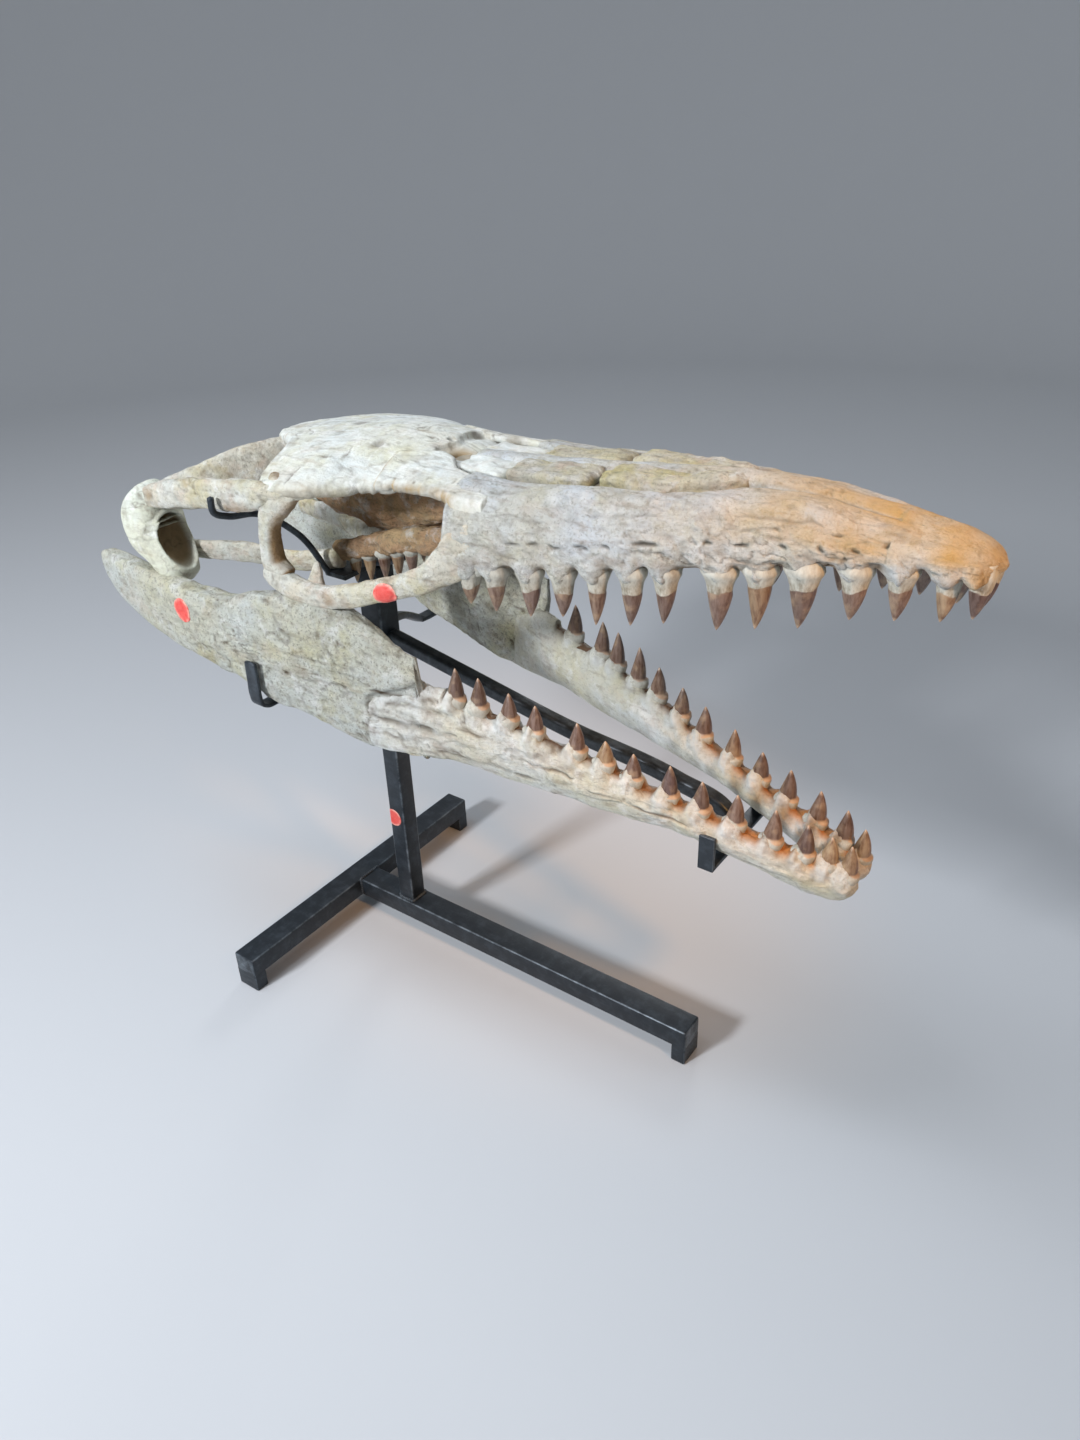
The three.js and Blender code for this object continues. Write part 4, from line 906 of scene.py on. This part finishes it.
# The cheek and the rear of the skull: the jugal under the eye, the bar behind it, the arch over the rear
# window, the branch from the roof to the quadrate, and the drum-shaped quadrate that carries the jaw.
def bar_rings(stations, side, sides, spacing=1.6, power=2.4, up=(0, 0, 1)):
    """Rings along a smooth path through [x, y, z, half across, half up]: a cubic through the stations by
    the distance between them, with a section |a|^p + |b|^p = 1 square to the path."""
    table = np.array(stations, float)
    table[:, 1] *= side
    s = np.concatenate([[0], np.cumsum(np.linalg.norm(np.diff(table[:, :3], axis=0), axis=1))])
    slope = np.gradient(table, s, axis=0)
    t = np.linspace(0, s[-1], int(s[-1] / spacing) + 1)
    k = np.clip(np.searchsorted(s, t, "right") - 1, 0, len(s) - 2)
    h = (s[k + 1] - s[k])[:, None]
    f = (t - s[k])[:, None] / h
    run = ((1 + 2 * f) * (1 - f) ** 2 * table[k] + f * (1 - f) ** 2 * h * slope[k]
           + f * f * (3 - 2 * f) * table[k + 1] + f * f * (f - 1) * h * slope[k + 1])
    ahead = np.gradient(run[:, :3], axis=0)
    ahead /= np.linalg.norm(ahead, axis=1, keepdims=True)
    across = np.cross(np.array(up, float), ahead)
    across /= np.linalg.norm(across, axis=1, keepdims=True)
    over = np.cross(ahead, across)
    a = np.linspace(0, 2 * np.pi, sides, endpoint=False)
    c, d = np.cos(a), np.sin(a)
    size = (np.abs(c) ** power + np.abs(d) ** power) ** (-1 / power)
    return (run[:, None, :3] + across[:, None] * (run[:, 3, None] * c * size)[..., None]
            + over[:, None] * (run[:, 4, None] * d * size)[..., None])


# Cheek bone: rugged, pinkish cream over grey, with brown earth and painted shade in many small pits.
cheek_bone = fossil_bone("rugged_cheek_bone", "#D8D9CF", "#DCD4C0", "#CFC392", "#D6BCA8", "#96703F",
                         warmth=0.42, speck=0.4)
# Quadrate bone: smooth and waxy, greenish white.
quadrate_bone = fossil_bone("waxy_quadrate_bone", "#DCE3DC", "#DFE0CC", "#C9C69E", "#D2CAB6", "#8E7349",
                            warmth=0.26, speck=0.15, bump=0.5)

# Iron-stained rock: rust brown to tan, rough and dull.
brown_rock = fossil_bone("iron_stained_rock", "#D8B08A", "#C9A37C", "#D6B88A", "#AE8560", "#7A5C40",
                         warmth=0.5, speck=0.5, bump=1.0)

cheek_bars = {
    "jugal": dict(seed=151, pit=0.6, ends=5, stations=[
        [56, 87, 560, 6, 24], [42, 90, 556, 6.5, 22], [30, 94, 546, 7.5, 18], [14, 98, 533, 8, 13.5],
        [-6, 102, 522, 8.5, 11.5], [-34, 106, 512, 8.5, 10.8], [-70, 110, 499.5, 8.5, 10.8],
        [-110, 114, 491, 9, 10.5], [-150, 115, 493, 9.5, 11], [-180, 114, 502, 8, 8]]),
    "temporal_arch": dict(seed=157, pit=1.5, ends=4, lamp=1.3, stations=[
        [-116, 98, 584, 5, 5], [-148, 109, 580, 8, 9], [-185, 116, 573, 9, 14], [-235, 118, 567, 8.5, 15],
        [-290, 118, 558, 8.5, 14], [-340, 114, 546, 9, 12]]),
    "postorbital_bar": dict(seed=163, pit=0.6, ends=5, up=(1, 0, 0), stations=[
        [-146, 103, 588, 7.5, 21], [-155, 108, 573, 10.5, 17], [-166, 112, 555, 10, 12],
        [-171, 112, 530, 9.5, 10], [-170, 112, 510, 10.5, 12], [-160, 112, 494, 11, 18]]),
    "suspensorium": dict(seed=167, pit=0.9, ends=4, stations=[
        [-226, 10, 586, 9, 13], [-256, 46, 573, 8, 21], [-298, 82, 553, 8, 21], [-347, 107, 542, 9, 11]]),
    "pterygoid_wing": dict(seed=173, pit=0.7, ends=5, stations=[
        [-343, 80, 478, 5, 10], [-270, 62, 483, 5, 11], [-210, 46, 481, 6, 11], [-160, 34, 490, 8, 11]]),
    "pterygoid": dict(seed=179, pit=1.2, ends=5, lamp=3.2, stations=[
        [-167, 34, 495, 8, 11], [-120, 28, 509, 11, 11], [-76, 27, 522, 12, 12], [-30, 28, 533, 13, 12],
        [36, 32, 551, 12, 11]]),
    "coronoid": dict(seed=181, pit=0.3, ends=2, up=(1, 0, 0), stations=[
        [-129, 106, 472, 7, 26], [-127, 106, 484, 6, 19], [-124, 105, 500, 4.5, 9.5],
        [-121, 104, 518, 1.6, 2.4]]),
}
for bar_name, facts in cheek_bars.items():
    for label, side in both_sides:
        rings = bar_rings(facts["stations"], side, 56, 1.3, up=facts.get("up", (0, 0, 1)))
        rings = ends_rounded(rings, facts["ends"])
        out = outward(rings)
        seed = facts["seed"] + (0 if side < 0 else 300)
        height, shade = weather(rings, seed, swell=0.8, lamp=facts.get("lamp", 0.7), grain=0.25, flake=0.6,
                                crack=0.8, pit=facts["pit"])
        earth = 0.35 if bar_name == "suspensorium" else 0.8
        stain = np.clip(layered(rings, 20.0, seed + 2, 2) - 0.35, 0, 0.8) * earth
        # painted light: the bar's faces towards the snout, below z 575, get a painted orange-brown glow of
        # the warm lamp
        if bar_name == "postorbital_bar":
            stain = np.clip(stain + np.clip(out[..., 0] * 1.6 - 0.5, 0, 0.9) * (rings[..., 2] < 575), 0, 0.9)
        rings = rings + out * height[..., None]
        if (bar_name, label) == ("jugal", "right"):
            dotted_cheek = rings
        closed_piece(f"{bar_name}_bone_{label}", rings, brown_rock if bar_name == "pterygoid" else cheek_bone,
                     [f"{bar_name}_{label}"], "bone", shade=shade, stain=stain)

drum_y, drum_z, drum_half_width, drum_half_height, drum_depth = 103, 499, 19, 27, 15
for label, side in both_sides:
    rings = bar_rings([[-316, 108, 459, 15, 9], [-328, 106, 470, 21, 15], [-340, 105, 486, 25, 19],
                       [-355, 104, 505, 28, 26],
                       [-358, 104, 524, 27, 26], [-350, 106, 540, 21, 19], [-338, 108, 552, 12, 9]], side,
                      130, 0.9, power=2.8, up=(1, 0, 0))
    rings = ends_rounded(rings, 9)
    out = outward(rings)
    height, shade = weather(rings, 191 + side, swell=0.8, lamp=0.35, grain=0.1, flake=0.3, crack=0.5, pit=0.3)
    rings = rings + out * height[..., None]
    # the hollow on the front face: a bowl pressed in along the skull, with a slanting ridge across it
    across = (rings[..., 1] - side * drum_y) * side / drum_half_width
    tall = (rings[..., 2] - drum_z) / drum_half_height
    q = np.hypot(across, tall)
    front = np.clip(out[..., 0] * 4 - 0.4, 0, 1)
    bowl = np.sqrt(np.clip(1 - q ** 2, 0, 1)) * front
    ridge = np.exp(-((across + 0.6 * tall - 0.1) / 0.2) ** 2)
    lip = np.exp(-((q - 1.08) / 0.1) ** 2) * front
    rings[..., 0] += 2.5 * lip - bowl * (drum_depth - 4 * ridge)
    # painted shade: the bowl is coloured dark brown, and its lip is kept free of it
    hollow = np.clip(bowl * 1.6, 0, 1)
    closed_piece(f"ear_drum_{label}", rings, quadrate_bone, [f"quadrate_{label}"], "bone",
                 shade=np.clip(shade * (1 - lip) + 0.3 * hollow, 0, 1),
                 stain=np.clip(0.9 * hollow - 0.5 * lip, 0, 1))


# Inside the eye opening: the braincase and rock behind it, brown and broken, and the small palate teeth.
rings = bar_rings([[-234, 0, 572, 14, 20], [-190, 0, 560, 25, 38], [-140, 0, 562, 28, 46],
                   [-80, 0, 572, 24, 46], [-28, 0, 584, 18, 34]], 1, 120, 1.6)
rings = ends_rounded(rings, 12)
out = outward(rings)
height, shade = weather(rings, 211, swell=3.0, lamp=2.6, grain=0.6, flake=1.6, crack=1.5, pit=1.4)
rings = rings + out * height[..., None]
closed_piece("braincase_rock", rings, brown_rock, ["braincase"], "bone", shade=0.8 * shade, stain=0 * shade)
palate_tooth_x = np.array([-152, -132, -112, -94, -76], float)
for label, side in both_sides:
    under = np.interp(palate_tooth_x, [-164, -120, -76], [486, 498, 511])
    grids = tooth_grids(palate_tooth_x, side * 28, under + 3, 29, 6.6, -1, 0.05, 33 + side, root_length=5)
    tooth_piece(f"palate_teeth_{label}", [grids], [f"pterygoid_{label}"])


# The stand. Square steel tube for the base, a solid post with a thicker head, flat straps bent into
# hooks, and round rods, all welded and painted satin black, scuffed grey along the edges.
# Painted steel: satin black with a slate cast, rubbed to grey where hands and boxes touched it.
painted_steel, tree, paint, place = new_material("satin_black_painted_steel")
scuff = node(tree, "TexNoise", {"Scale": 1000 / 14, "Detail": 8.0, "Roughness": 0.7}, Vector=place)
drag_place = node(tree, "Mapping", {"Scale": (0.2, 1, 1)}, Vector=place).outputs[0]
drag = node(tree, "TexNoise", {"Scale": 1000 / 3, "Detail": 5.0, "Roughness": 0.6}, Vector=drag_place)
worn = node(tree, "Attribute", {"attribute_name": "worn"}).outputs["Fac"]
rub = node(tree, "MapRange", {"From Min": 0.5, "From Max": 0.75}, Value=scuff.outputs["Fac"])
patchy = node(tree, "MapRange", {"From Min": 0.38, "From Max": 0.62}, Value=scuff.outputs["Fac"])
rub_edge = node(tree, "Math", {"operation": "MULTIPLY"}, Value=worn, _1=patchy.outputs[0])
base = node(tree, "Mix", {"data_type": "RGBA", 6: linear("#23292F"), 7: linear("#363E46")},
            Factor=rub.outputs[0])
edge_wear = node(tree, "Mix", {"data_type": "RGBA", 7: linear("#6C757C")}, Factor=rub_edge.outputs[0],
                 _6=base.outputs[2])
tree.links.new(edge_wear.outputs[2], paint.inputs["Base Color"])
sheen = node(tree, "MapRange", {"From Min": 0.3, "From Max": 0.7, "To Min": 0.3, "To Max": 0.52},
             Value=drag.outputs["Fac"])
tree.links.new(sheen.outputs[0], paint.inputs["Roughness"])
paint.inputs["Metallic"].default_value = 0.35
paint_skin = node(tree, "Bump", {"Strength": 0.12, "Distance": 0.0006}, Height=drag.outputs["Fac"])
tree.links.new(paint_skin.outputs[0], paint.inputs["Normal"])


def steel_bar(name, start, end, half_across, half_up, radius, replaces, up=(0, 0, 1)):
    """Straight square bar: a rectangle with rounded corners carried from start to end, its ends rolled
    over by the same radius. Points near the long edges are marked as worn."""
    start, end = np.array(start, float), np.array(end, float)
    length = np.linalg.norm(end - start)
    ahead = (end - start) / length
    across = np.cross(np.array(up, float), ahead)
    across /= np.linalg.norm(across)
    over = np.cross(ahead, across)
    q = np.linspace(0, np.pi / 2, 7)
    corner_a = np.concatenate([sx * (half_across - radius) + radius * np.cos(q + turn) for sx, turn in
                               ((1, 0), (-1, np.pi / 2), (-1, np.pi), (1, 3 * np.pi / 2))])
    corner_b = np.concatenate([sy * (half_up - radius) + radius * np.sin(q + turn) for sy, turn in
                               ((1, 0), (1, np.pi / 2), (-1, np.pi), (-1, 3 * np.pi / 2))])
    roll = np.linspace(0, np.pi / 2, 6)
    inset = np.concatenate([radius * (1 - np.sin(roll)), np.zeros(20), radius * (1 - np.cos(roll))])
    place_along = np.concatenate([radius * (1 - np.cos(roll)), np.linspace(radius, length - radius, 22)[1:-1],
                                  length - radius + radius * np.sin(roll)])
    shrink_a = ((half_across - inset) / half_across)[:, None]
    shrink_b = ((half_up - inset) / half_up)[:, None]
    rings = ((start + ahead * place_along[:, None])[:, None] + across * (corner_a * shrink_a)[..., None]
             + over * (corner_b * shrink_b)[..., None])
    turned = np.tile(np.tile(np.exp(-((np.linspace(-1, 1, 7)) / 0.6) ** 2), 4), (len(place_along), 1))
    worn_mark = np.maximum(turned, (inset > 0.2 * radius)[:, None] * 0.8)
    closed_piece(name, rings, painted_steel, replaces, "steel", worn=worn_mark)


tube_z, foot_top, rear_x, post_x, clip_x, clip_z = 32.75, 24, -242, -155, 258, 298
steel_bar("stand_crossbar_tube", (rear_x, -191, tube_z), (rear_x, 191, tube_z), 15, 12.25, 2.2,
          ["stand_crossbar"])
steel_bar("stand_long_tube", (-229, 0, tube_z), (228, 0, tube_z), 15, 12.25, 2.2, ["stand_long_bar"])
steel_bar("stand_front_foot", (220, 0, foot_top), (220, 0, 0), 8, 15, 1.5, ["stand_foot_front"], up=(0, 1, 0))
for label, side in both_sides:
    steel_bar(f"stand_rear_foot_{label}_block", (rear_x, side * 183, foot_top), (rear_x, side * 183, 0), 15,
              8, 1.5, [f"stand_foot_rear_{label}"], up=(0, 1, 0))
steel_bar("stand_post_bar", (post_x, 0, 43), (post_x, 0, 336), 11, 11, 2.5, ["stand_post"], up=(0, 1, 0))
steel_bar("stand_head_bar", (post_x, 0, 328), (post_x, 0, 474), 14, 14, 3, ["stand_post_head"], up=(0, 1, 0))
steel_bar("stand_palate_plate", (-162, -48, 475.4), (-162, 48, 475.4), 14, 2.6, 1.0, ["stand_palate_bar"])
for label, side in both_sides:
    steel_bar(f"stand_clip_tab_{label}_strap", (clip_x, side * 52, 296), (clip_x, side * 52, 331), 2, 7.5,
              0.8, [f"stand_front_clip_tab_{label}"], up=(1, 0, 0))
steel_bar("stand_front_clip_strap", (clip_x, -53, clip_z), (clip_x, 53, clip_z), 7.5, 2, 0.8,
          ["stand_front_clip"])


def bent_steel(name, stations, side, sides, power, replaces, up=(0, 0, 1)):
    """Bent rod or strap: the bar section carried along a smooth path, ends rounded."""
    rings = ends_rounded(bar_rings(stations, side, sides, 1.5, power, up), 2)
    closed_piece(name, rings, painted_steel, replaces, "steel", worn=0.25 + 0 * rings[..., 0])


bent_steel("stand_palate_strut_strap", [[-150, 0, 477, 12, 3], [-110, 0, 490, 12, 3], [-72, 0, 516, 12, 3]],
           1, 32, 6, ["stand_palate_strut"])
bent_steel("stand_jaw_rod_bar", [[-142, 0, 396, 7, 7], [-53, 0, 379, 7, 7], [81, 0, 354, 7, 7],
                                 [200, 0, 338, 7, 7],
                                 [250, 0, 322, 7, 7], [262, 0, 300, 6, 6]], 1, 32, 5, ["stand_jaw_rod"])
hook_path = [[-196, 98, 361, 7.5, 2], [-196, 118, 360, 7.5, 2], [-196, 134, 361.5, 7.5, 2],
             [-195.5, 140, 366, 7.5, 2], [-195, 142, 374, 7.5, 2], [-194, 142.5, 392, 7.5, 2],
             [-193, 143, 414, 7, 2]]
rear_rod_path = [[-170, 46, 474, 3.2, 3.2], [-186, 66, 520, 3.2, 3.2], [-206, 96, 546, 3.2, 3.2],
                 [-216, 120, 549, 3.2, 3.2], [-218, 133, 556, 3.2, 3.2], [-218, 134, 572, 3.2, 3.2]]
for label, side in both_sides:
    bent_steel(f"stand_arm_{label}_bar", [[-158, 12, 404, 6, 4], [-180, 60, 386, 6, 4],
                                          [-196, 102, 361, 6, 4]],
               side, 28, 6, [f"stand_arm_{label}"])
    bent_steel(f"stand_jaw_hook_{label}_strap", hook_path, side, 28, 8,
               [f"stand_jaw_hook_floor_{label}", f"stand_jaw_hook_wall_{label}"], up=(0.02, -side, 1))
    bent_steel(f"stand_rear_rod_{label}_wire", rear_rod_path, side, 16, 2, [f"stand_rear_rod_{label}"],
               up=(1, 0, 0))


# Weld beads where the bars meet: a rippled ridge of metal run round each joint and painted over.
def weld(name, corners, radius):
    """Ripples along a run of points: a circle whose radius swells every 3 mm, carried along the run."""
    run = np.array(corners, float)
    s = np.concatenate([[0], np.cumsum(np.linalg.norm(np.diff(run, axis=0), axis=1))])
    t = np.linspace(0, s[-1], int(s[-1] / 0.6) + 2)
    centre = np.stack([np.interp(t, s, run[:, k]) for k in range(3)], 1)
    ahead = np.gradient(centre, axis=0)
    ahead /= np.linalg.norm(ahead, axis=1, keepdims=True)
    across = np.cross(ahead, [0.31, 0.52, 0.79])
    across /= np.linalg.norm(across, axis=1, keepdims=True)
    over = np.cross(ahead, across)
    a = np.linspace(0, 2 * np.pi, 12, endpoint=False)
    thin_ends = np.clip(np.minimum(t, s[-1] - t) / 2 + 0.2, 0, 1)
    r = (radius * (1 + 0.16 * np.cos(2 * np.pi * t / 3)) * thin_ends)[:, None]
    rings = (centre[:, None] + across[:, None] * (r * np.cos(a))[..., None]
             + over[:, None] * (r * np.sin(a))[..., None])
    closed_piece(name, rings, painted_steel, [], "steel", worn=0.5 + 0 * rings[..., 0])


weld("weld_post_foot", [(-166, -11, 45.4), (-144, -11, 45.4), (-144, 11, 45.4), (-166, 11, 45.4),
                        (-166, -11, 45.4)], 2.4)
weld("weld_long_tube", [(-227, -15, 22), (-227, -15, 45), (-227, 15, 45), (-227, 15, 22)], 2.0)


# Three plain red paper dots, about 25 mm across, stuck on the jaw, the cheek and the post.
# Gummed paper: flat bright red, faintly fibrous, edges a little lifted and worn.
red_paper, tree, paper, place = new_material("red_gummed_paper")
fibre = node(tree, "TexNoise", {"Scale": 1000 / 1.5, "Detail": 6.0}, Vector=place)
paper_tone = node(tree, "ValToRGB", {}, Fac=fibre.outputs["Fac"])
paper_tone.color_ramp.elements[0].color = linear("#C8302C")
paper_tone.color_ramp.elements[1].color = linear("#F0584E")
wear = node(tree, "TexNoise", {"Scale": 1000 / 5, "Detail": 5.0}, Vector=place)
rubbed = node(tree, "MapRange", {"From Min": 0.35, "From Max": 0.62}, Value=wear.outputs["Fac"])
worn = node(tree, "Attribute", {"attribute_name": "worn"}).outputs["Fac"]
rubbed_edge = node(tree, "Math", {"operation": "MULTIPLY"}, Value=rubbed.outputs[0], _1=worn)
paper_face = node(tree, "Mix", {"data_type": "RGBA", 7: linear("#F3B9A6")}, Factor=rubbed_edge.outputs[0],
                  _6=paper_tone.outputs[0])
tree.links.new(paper_face.outputs[2], paper.inputs["Base Color"])
paper.inputs["Roughness"].default_value = 0.55


def paper_disc(front, back, sides):
    """A thin disc from the middle of its front, over its edge, to the middle of its back: share of the
    radius, lift off the surface and angle of its points, and the wear of its outer third."""
    r = np.concatenate([np.linspace(0.02, 1, 14), [1.0], np.linspace(1, 0.02, 14)])[:, None]
    lift = np.concatenate([np.full(14, front), [0.2], np.full(14, back)])[:, None]
    a = np.linspace(0, 2 * np.pi, sides, endpoint=False)[None]
    return r, lift, a, np.clip((r - 0.7) / 0.3, 0.1, 0.9) + 0 * a


def sticker(name, rings, x, z, radius, tall=1.0):
    """A disc laid on a ring surface: rays of points spread from its middle, by the true distance along the
    grid's two directions, each read from the grid bilinearly and lifted 0.7 mm, with a thin back."""
    out = outward(rings)
    outside = np.where(out[..., 1] < -0.3, np.hypot(rings[..., 0] - x, rings[..., 2] - z), 1e9)
    i0, j0 = np.unravel_index(outside.argmin(), outside.shape)
    reach = 20
    steps = np.arange(-reach, reach + 1)

    def steps_for(distance, line):
        run = np.concatenate([[0], np.cumsum(np.linalg.norm(np.diff(line, axis=0), axis=1))])
        return np.interp(distance, run - run[reach], steps)

    r, lift, a, worn_edge = paper_disc(0.7, -0.6, 48)
    fi = i0 + steps_for(radius * r * np.cos(a), rings[i0 + steps, j0])
    fj = j0 + steps_for(tall * radius * r * np.sin(a), rings[i0, (j0 + steps) % rings.shape[1]])
    i, j = np.floor(fi).astype(int), np.floor(fj).astype(int)
    u, v = (fi - i)[..., None], (fj - j)[..., None]
    i, n = np.clip(i, 0, len(rings) - 2), rings.shape[1]

    def read(field):
        return ((1 - u) * (1 - v) * field[i, j % n] + u * (1 - v) * field[i + 1, j % n]
                + (1 - u) * v * field[i, (j + 1) % n] + u * v * field[i + 1, (j + 1) % n])

    closed_piece(name, read(rings) + read(out) * lift[..., None], red_paper, [], "bone", worn=worn_edge)


sticker("red_dot_jaw", dotted_jaw, -288, 444, 12.5)
sticker("red_dot_cheek", dotted_cheek, -30, 511, 12.5, tall=0.85)

# the dot on the post lies over its corner: measured along the face, then round the corner's arc
corner_x, corner_y, corner_radius, dot_radius, dot_z = -163.5, -8.5, 2.5, 11, 163
r, lift, a, worn_edge = paper_disc(0.35, -0.3, 64)
u, v = dot_radius * r * np.cos(a) + 4.0, dot_radius * r * np.sin(a) + dot_z
turned = np.clip(-u / corner_radius, 0, np.pi / 2)
beyond = np.clip(-u - corner_radius * np.pi / 2, 0, None)
dot = np.stack([corner_x + np.clip(u, 0, None) - (corner_radius + lift) * np.sin(turned),
                corner_y - (corner_radius + lift) * np.cos(turned) + beyond, v + 0 * u], -1)
closed_piece("red_dot_post", dot, red_paper, [], "steel", worn=worn_edge)
